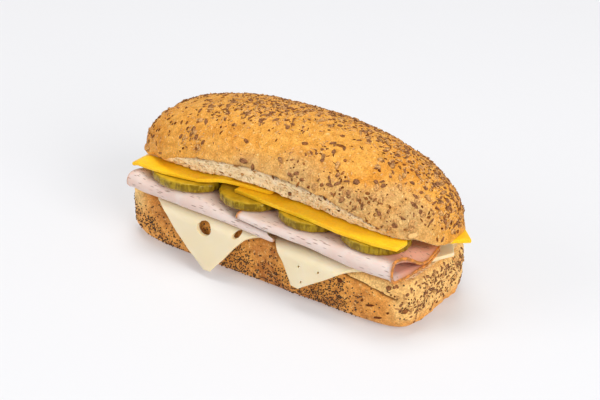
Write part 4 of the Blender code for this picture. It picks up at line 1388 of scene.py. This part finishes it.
class SANDWICH_OT_bottom_bun(bpy.types.Operator):
    """Builds the bottom bun with its flakes and poppy seeds"""

    bl_idname = "sandwich.bottom_bun"
    bl_label = "Bottom bun"

    def execute(self, context):
        bread, seeds = context.scene.sandwich_bread, context.scene.sandwich_seeds
        finish = crust_finish("base_crust", bread, bread.base, BASE_DARKER, BASE_PALER)
        angles = even_angles(
            lambda turn: plan_point(turn, BASE_LENGTH / 2, BASE_WIDTH / 2, base_squareness(turn)),
            bread.column_step, bread.front_step,
        )
        bun = skin("bottom_bun_crust", base_surface, base_relief, angles, BASE_ROWS, finish.material)
        dress(bun, "toasted_crust", "bottom_bun")
        length = 0.85 * seeds.flake_length
        flakes = flake_finish(seeds)
        strew(
            "bottom_bun_flakes", bun, "flakes", flake_kinds(length, flakes), flakes, "grain_flake",
            Spacing=1.3 * MM, Density=620000.0, Smallest=0.45, Largest=1.25, Tip=0.35, Seed=3,
        )
        poppy = poppy_finish(seeds)
        ball = seed_ball("poppy", seeds.poppy_length, poppy.material)
        strew(
            "bottom_bun_poppy", bun, "poppy", [ball], poppy, "poppy_seed",
            Spacing=0.7 * MM, Density=1000000.0, Smallest=0.7, Largest=1.25, Tip=0.4, Seed=5,
        )
        lay_chips("bottom_bun_chips", bun, BASE_CHIPS, flakes, "grain_flake")
        slivers = sliver_finish(seeds)
        strew(
            "bottom_bun_slivers", bun, "flakes", sliver_kinds(seeds.sliver_length, slivers), slivers,
            "grain_flake", Spacing=2.6 * MM, Density=120000.0, Smallest=0.6, Largest=1.2, Tip=0.3, Seed=8,
        )
        return {"FINISHED"}


class SANDWICH_OT_top_bun(bpy.types.Operator):
    """Builds the top bun with its crumb band, flakes, slivers and specks"""

    bl_idname = "sandwich.top_bun"
    bl_label = "Top bun"

    def execute(self, context):
        bread, seeds = context.scene.sandwich_bread, context.scene.sandwich_seeds
        finish = crust_finish("top_crust", bread, bread.crust, bread.amber, bread.tan)
        angles = even_angles(lambda turn: top_plan(turn, 0), bread.column_step, bread.front_step)
        bun = skin("top_bun_crust", top_surface, top_relief, angles, TOP_ROWS, finish.material)
        dress(bun, "toasted_crust", "top_bun")
        flakes = flake_finish(seeds)
        strew(
            "top_bun_flakes", bun, "flakes", flake_kinds(seeds.flake_length, flakes), flakes, "grain_flake",
            Spacing=1.7 * MM, Density=160000.0, Smallest=0.5, Largest=1.5, Tip=0.3, Seed=11,
        )
        slivers = sliver_finish(seeds)
        strew(
            "top_bun_slivers", bun, "flakes", sliver_kinds(seeds.sliver_length, slivers), slivers,
            "grain_flake", Spacing=1.4 * MM, Density=260000.0, Smallest=0.5, Largest=1.3, Tip=0.45, Seed=12,
        )
        strew(
            "top_bun_husks", bun, "flakes", flake_kinds(0.8 * seeds.flake_length, flakes)[1:], flakes,
            "grain_flake", Spacing=2.0 * MM, Density=110000.0, Smallest=0.5, Largest=1.2, Tip=0.95, Seed=21,
        )
        lay_chips("top_bun_chips", bun, TOP_CHIPS, flakes, "grain_flake")
        lay_chips("top_bun_oats", bun, TOP_OATS, slivers, "grain_flake")
        specks = flake_finish(seeds)
        small = [chip("speck", 1.1 * MM, 0.7 * MM, 0.4 * MM, 6, 0.0, specks.material)]
        strew(
            "top_bun_specks", bun, "flakes", small, specks, "grain_flake",
            Spacing=1.2 * MM, Density=100000.0, Smallest=0.5, Largest=1.3, Tip=0.6, Seed=13,
        )
        return {"FINISHED"}


class SANDWICH_OT_swiss(bpy.types.Operator):
    """Builds the two Swiss cheese slices with their eyes"""

    bl_idname = "sandwich.swiss"
    bl_label = "Swiss cheese"

    def execute(self, context):
        fillings = context.scene.sandwich_fillings
        cheese = swiss_finish(fillings).material
        left = swiss_slice(
            "swiss_left",
            in_mm((-65.4, -27), (-58, -38.6), (-50, -47.4), (-43, -53.6), (-36, -64), (0, -86),
                  (36, -54), (62, -24)),
            in_mm((-65.4, -23.4), (-57, -15.8), (-48.5, -9.2), (-42, -3), (-36, 6), (36, 6), (62, -20)),
            fillings, cheese,
        )
        punch(left, [
            (-28.6 * MM, 25.8 * MM, 9 * MM, 8.2 * MM, 0.2, -1),
            (-8 * MM, 28.4 * MM, 6.4 * MM, 3.2 * MM, -0.65, -1),
            (-14 * MM, 17 * MM, 6 * MM, 5.4 * MM, 0.3, 1),
        ])
        dress(left, "swiss_cheese", "swiss_slice_left")
        right = swiss_slice(
            "swiss_right",
            in_mm((-56.4, 28), (-44.8, 21), (-41, 17.4), (-36, 13), (-20, 9), (36, 26), (60, 50)),
            in_mm((-56.4, 32), (-53.4, 37), (-47.6, 46.8), (-40.5, 57.4), (-36, 64), (-24, 79),
                  (-10, 85.8), (4.5, 92.3), (36, 70), (60, 53)),
            fillings, cheese,
        )
        pinholes = ((31.7, 24.3), (43.6, 24.9), (52.5, 28.2), (34, 16.9))
        punch(right, [(x * MM, z * MM, 1.1 * MM, 1.5 * MM, 0.3, -1) for x, z in pinholes], sides=10)
        dress(right, "swiss_cheese", "swiss_slice_right")
        return {"FINISHED"}


class SANDWICH_OT_ham(bpy.types.Operator):
    """Builds the two folded ham slices"""

    bl_idname = "sandwich.ham"
    bl_label = "Ham"

    def execute(self, context):
        fillings = context.scene.sandwich_fillings
        meat = ham_finish(fillings).material

        def left_tip(y):
            return -75 * MM - 6.5 * MM * smooth((-y - 28 * MM) / (14 * MM)) + 6 * MM * smooth(y / (30 * MM))

        def left_inner(y):
            point = 4 * MM * smooth((-y - 38 * MM) / (4 * MM))
            return 6 * MM + 6 * MM * smooth((-y - 30 * MM) / (10 * MM)) + point

        def right_inner(y):
            return -9 * MM

        def right_loop(y):
            further = 6 * MM * smooth((y + 38 * MM) / (22 * MM))
            return 85.2 * MM + further - 27 * MM * smooth((y + 9 * MM) / (22 * MM))

        # The left tip stands a little above its solid, as a puffed fold.
        left = ham_slice(
            "ham_left", left_tip, left_inner,
            [(-90 * MM, HAM_FLOOR + 1.6 * MM), (-74 * MM, HAM_FLOOR), (10 * MM, HAM_FLOOR)],
            [(-90 * MM, HAM_TOP - 2 * MM), (-82 * MM, HAM_TOP + 1.2 * MM), (-77 * MM, HAM_TOP + 2.6 * MM),
             (-70 * MM, HAM_TOP), (-32 * MM, HAM_TOP),
             (-12 * MM, HAM_FLOOR + 4.8 * MM), (12 * MM, HAM_FLOOR + 3.5 * MM)],
            False, fillings, meat,
        )
        dress(left, "sliced_ham", "ham_slice_left")
        right = ham_slice(
            "ham_right", right_inner, right_loop,
            [(-9 * MM, HAM_TOP - 3.3 * MM), (6 * MM, HAM_TOP - 3.6 * MM), (20 * MM, HAM_FLOOR + 4 * MM),
             (60 * MM, HAM_FLOOR)],
            [(-9 * MM, HAM_TOP), (90 * MM, HAM_TOP)],
            True, fillings, meat,
        )
        dress(right, "sliced_ham", "ham_slice_right")
        return {"FINISHED"}


class SANDWICH_OT_pickles(bpy.types.Operator):
    """Builds the eight pickle slices"""

    bl_idname = "sandwich.pickles"
    bl_label = "Pickles"

    def execute(self, context):
        flesh = pickle_finish(context.scene.sandwich_fillings).material
        names = sorted(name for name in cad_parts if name.startswith("pickle_"))
        for number, name in enumerate(names):
            pickle_slice(name, number, flesh)
        return {"FINISHED"}


class SANDWICH_OT_cheddar(bpy.types.Operator):
    """Builds the three cheddar slices"""

    bl_idname = "sandwich.cheddar"
    bl_label = "Cheddar"

    def execute(self, context):
        fillings = context.scene.sandwich_fillings
        cheese = cheddar_finish(fillings).material
        stacked = CHEDDAR_THICK + GAP

        def left_level(x, y):
            crossing = smooth((x + 40 * MM) / (14 * MM))
            drooped = CHEDDAR_DROOP_LEFT * smooth((-x - 76 * MM) / (5 * MM))
            return CHEDDAR_LEVEL + stacked * crossing - drooped

        def right_level(x, y):
            over_end = smooth((x - 50 * MM) / (14 * MM)) * smooth((23 * MM - abs(y)) / (9 * MM))
            return CHEDDAR_LEVEL + stacked * over_end

        def end_level(x, y):
            return CHEDDAR_LEVEL - CHEDDAR_DROOP_END * smooth((x - 78 * MM) / (12 * MM))

        left = cheddar_slice(
            "cheddar_left", (-38.4 * MM, 34 * MM),
            in_mm((-38.4, -80), (-20, -80), (34, -68)),
            in_mm((-38.4, -60), (-36.8, -50), (-34, -34), (-29.5, -20), (-27.5, 3), (34, 5)),
            left_level, fillings, cheese,
        )
        dress(left, "cheddar", "cheddar_slice_left")
        right = cheddar_slice(
            "cheddar_right", (-37.4 * MM, 34 * MM),
            in_mm((-37.4, 50), (-35.4, 37), (-32.4, -16.5), (34, -14)),
            in_mm((-37.4, 70), (-35.4, 83.5), (-27, 84), (-18, 77), (34, 62)),
            right_level, fillings, cheese,
        )
        dress(right, "cheddar", "cheddar_slice_right")
        end = cheddar_slice(
            "cheddar_end", (-12.5 * MM, 14 * MM),
            in_mm((-12.5, 88), (-1, 68), (14, 80)),
            in_mm((-12.5, 90.5), (-1, 104), (14, 88)),
            end_level, fillings, cheese,
        )
        dress(end, "cheddar", "cheddar_slice_end")
        return {"FINISHED"}


class SANDWICH_OT_stage(bpy.types.Operator):
    """Builds the table, the lights and the camera"""

    bl_idname = "sandwich.stage"
    bl_label = "Stage"

    def execute(self, context):
        scene = context.scene
        stage = scene.sandwich_stage
        build_floor(stage)
        build_lights(scene)
        build_camera(scene, stage)
        return {"FINISHED"}


def build_floor(stage):
    """A plain table that glows faintly itself, so that the shadows on it stay soft and pale."""
    finish = Finish("table", 0.6, Specular_IOR_Level=0.2, Emission_Strength=TABLE_GLOW)
    finish.shader.inputs["Emission Color"].default_value = (0.99, 0.99, 1.0, 1.0)
    finish.colour(finish.mix(finish.noise(0.4, 1), stage.floor, [0.99 * c for c in stage.floor]))
    corners = [(-TABLE_REACH, -TABLE_REACH, 0), (TABLE_REACH, -TABLE_REACH, 0)]
    corners += [(TABLE_REACH, TABLE_REACH, 0), (-TABLE_REACH, TABLE_REACH, 0)]
    floor = add_mesh("table", corners, [(0, 1, 2, 3)], finish.material)


def build_lights(scene):
    """A white sky and three soft lamps, all turned to the sandwich."""
    world = bpy.data.worlds.new("studio")
    scene.world = world
    world.use_nodes = True
    sky = world.node_tree.nodes["Background"]
    sky.inputs["Color"].default_value = (1.0, 1.0, 1.0, 1.0)
    sky.inputs["Strength"].default_value = SKY_STRENGTH
    for name, place, size, energy in LAMPS:
        lamp = bpy.data.lights.new(name, "AREA")
        lamp.size = size
        lamp.energy = energy
        thing = bpy.data.objects.new(name, lamp)
        thing.location = place
        thing.rotation_mode = "QUATERNION"
        thing.rotation_quaternion = Vector(place).to_track_quat("Z", "Y")
        scene.collection.objects.link(thing)


def build_camera(scene, stage):
    """A long lens that looks down on the opened side."""
    turn, tilt = stage.azimuth, stage.elevation
    back = Vector((math.sin(turn) * math.cos(tilt), -math.cos(turn) * math.cos(tilt), math.sin(tilt)))
    eye = bpy.data.cameras.new("camera")
    eye.sensor_width = 36
    eye.lens = CAMERA_LENS
    eye.shift_x, eye.shift_y = CAMERA_SHIFT
    eye.clip_start = 0.01
    thing = bpy.data.objects.new("camera", eye)
    thing.location = CAMERA_TARGET + back * stage.distance
    thing.rotation_mode = "QUATERNION"
    thing.rotation_quaternion = back.to_track_quat("Z", "Y")
    scene.collection.objects.link(thing)
    scene.camera = thing
    scene.view_settings.view_transform = "Standard"


class SANDWICH_PT_panel(bpy.types.Panel):
    """Lists the steps that build the sandwich"""

    bl_idname = "SANDWICH_PT_panel"
    bl_label = "Sandwich"
    bl_space_type = "VIEW_3D"
    bl_region_type = "UI"
    bl_category = "Sandwich"

    def draw(self, context):
        for operator in OPERATORS:
            self.layout.operator(operator.bl_idname)
        for group in SETTINGS:
            box = self.layout.box()
            values = getattr(context.scene, group)
            for key in values.bl_rna.properties.keys():
                if key not in ("rna_type", "name"):
                    box.prop(values, key)


SETTINGS = {
    "sandwich_bread": SandwichBread,
    "sandwich_seeds": SandwichSeeds,
    "sandwich_fillings": SandwichFillings,
    "sandwich_stage": SandwichStage,
}
OPERATORS = (
    SANDWICH_OT_bottom_bun,
    SANDWICH_OT_swiss,
    SANDWICH_OT_ham,
    SANDWICH_OT_pickles,
    SANDWICH_OT_cheddar,
    SANDWICH_OT_top_bun,
    SANDWICH_OT_stage,
)


def register():
    """Adds the settings, the operators and the panel."""
    for kind in (*SETTINGS.values(), *OPERATORS, SANDWICH_PT_panel):
        bpy.utils.register_class(kind)
    for name, kind in SETTINGS.items():
        setattr(bpy.types.Scene, name, bpy.props.PointerProperty(type=kind))


def unregister():
    """Takes away what register added."""
    for name in SETTINGS:
        delattr(bpy.types.Scene, name)
    for kind in reversed((*SETTINGS.values(), *OPERATORS, SANDWICH_PT_panel)):
        bpy.utils.unregister_class(kind)


def main():
    """Builds the whole sandwich."""
    register()
    bpy.ops.sandwich.bottom_bun()
    bpy.ops.sandwich.swiss()
    bpy.ops.sandwich.ham()
    bpy.ops.sandwich.pickles()
    bpy.ops.sandwich.cheddar()
    bpy.ops.sandwich.top_bun()
    bpy.ops.sandwich.stage()


if __name__ == "__main__":
    main()
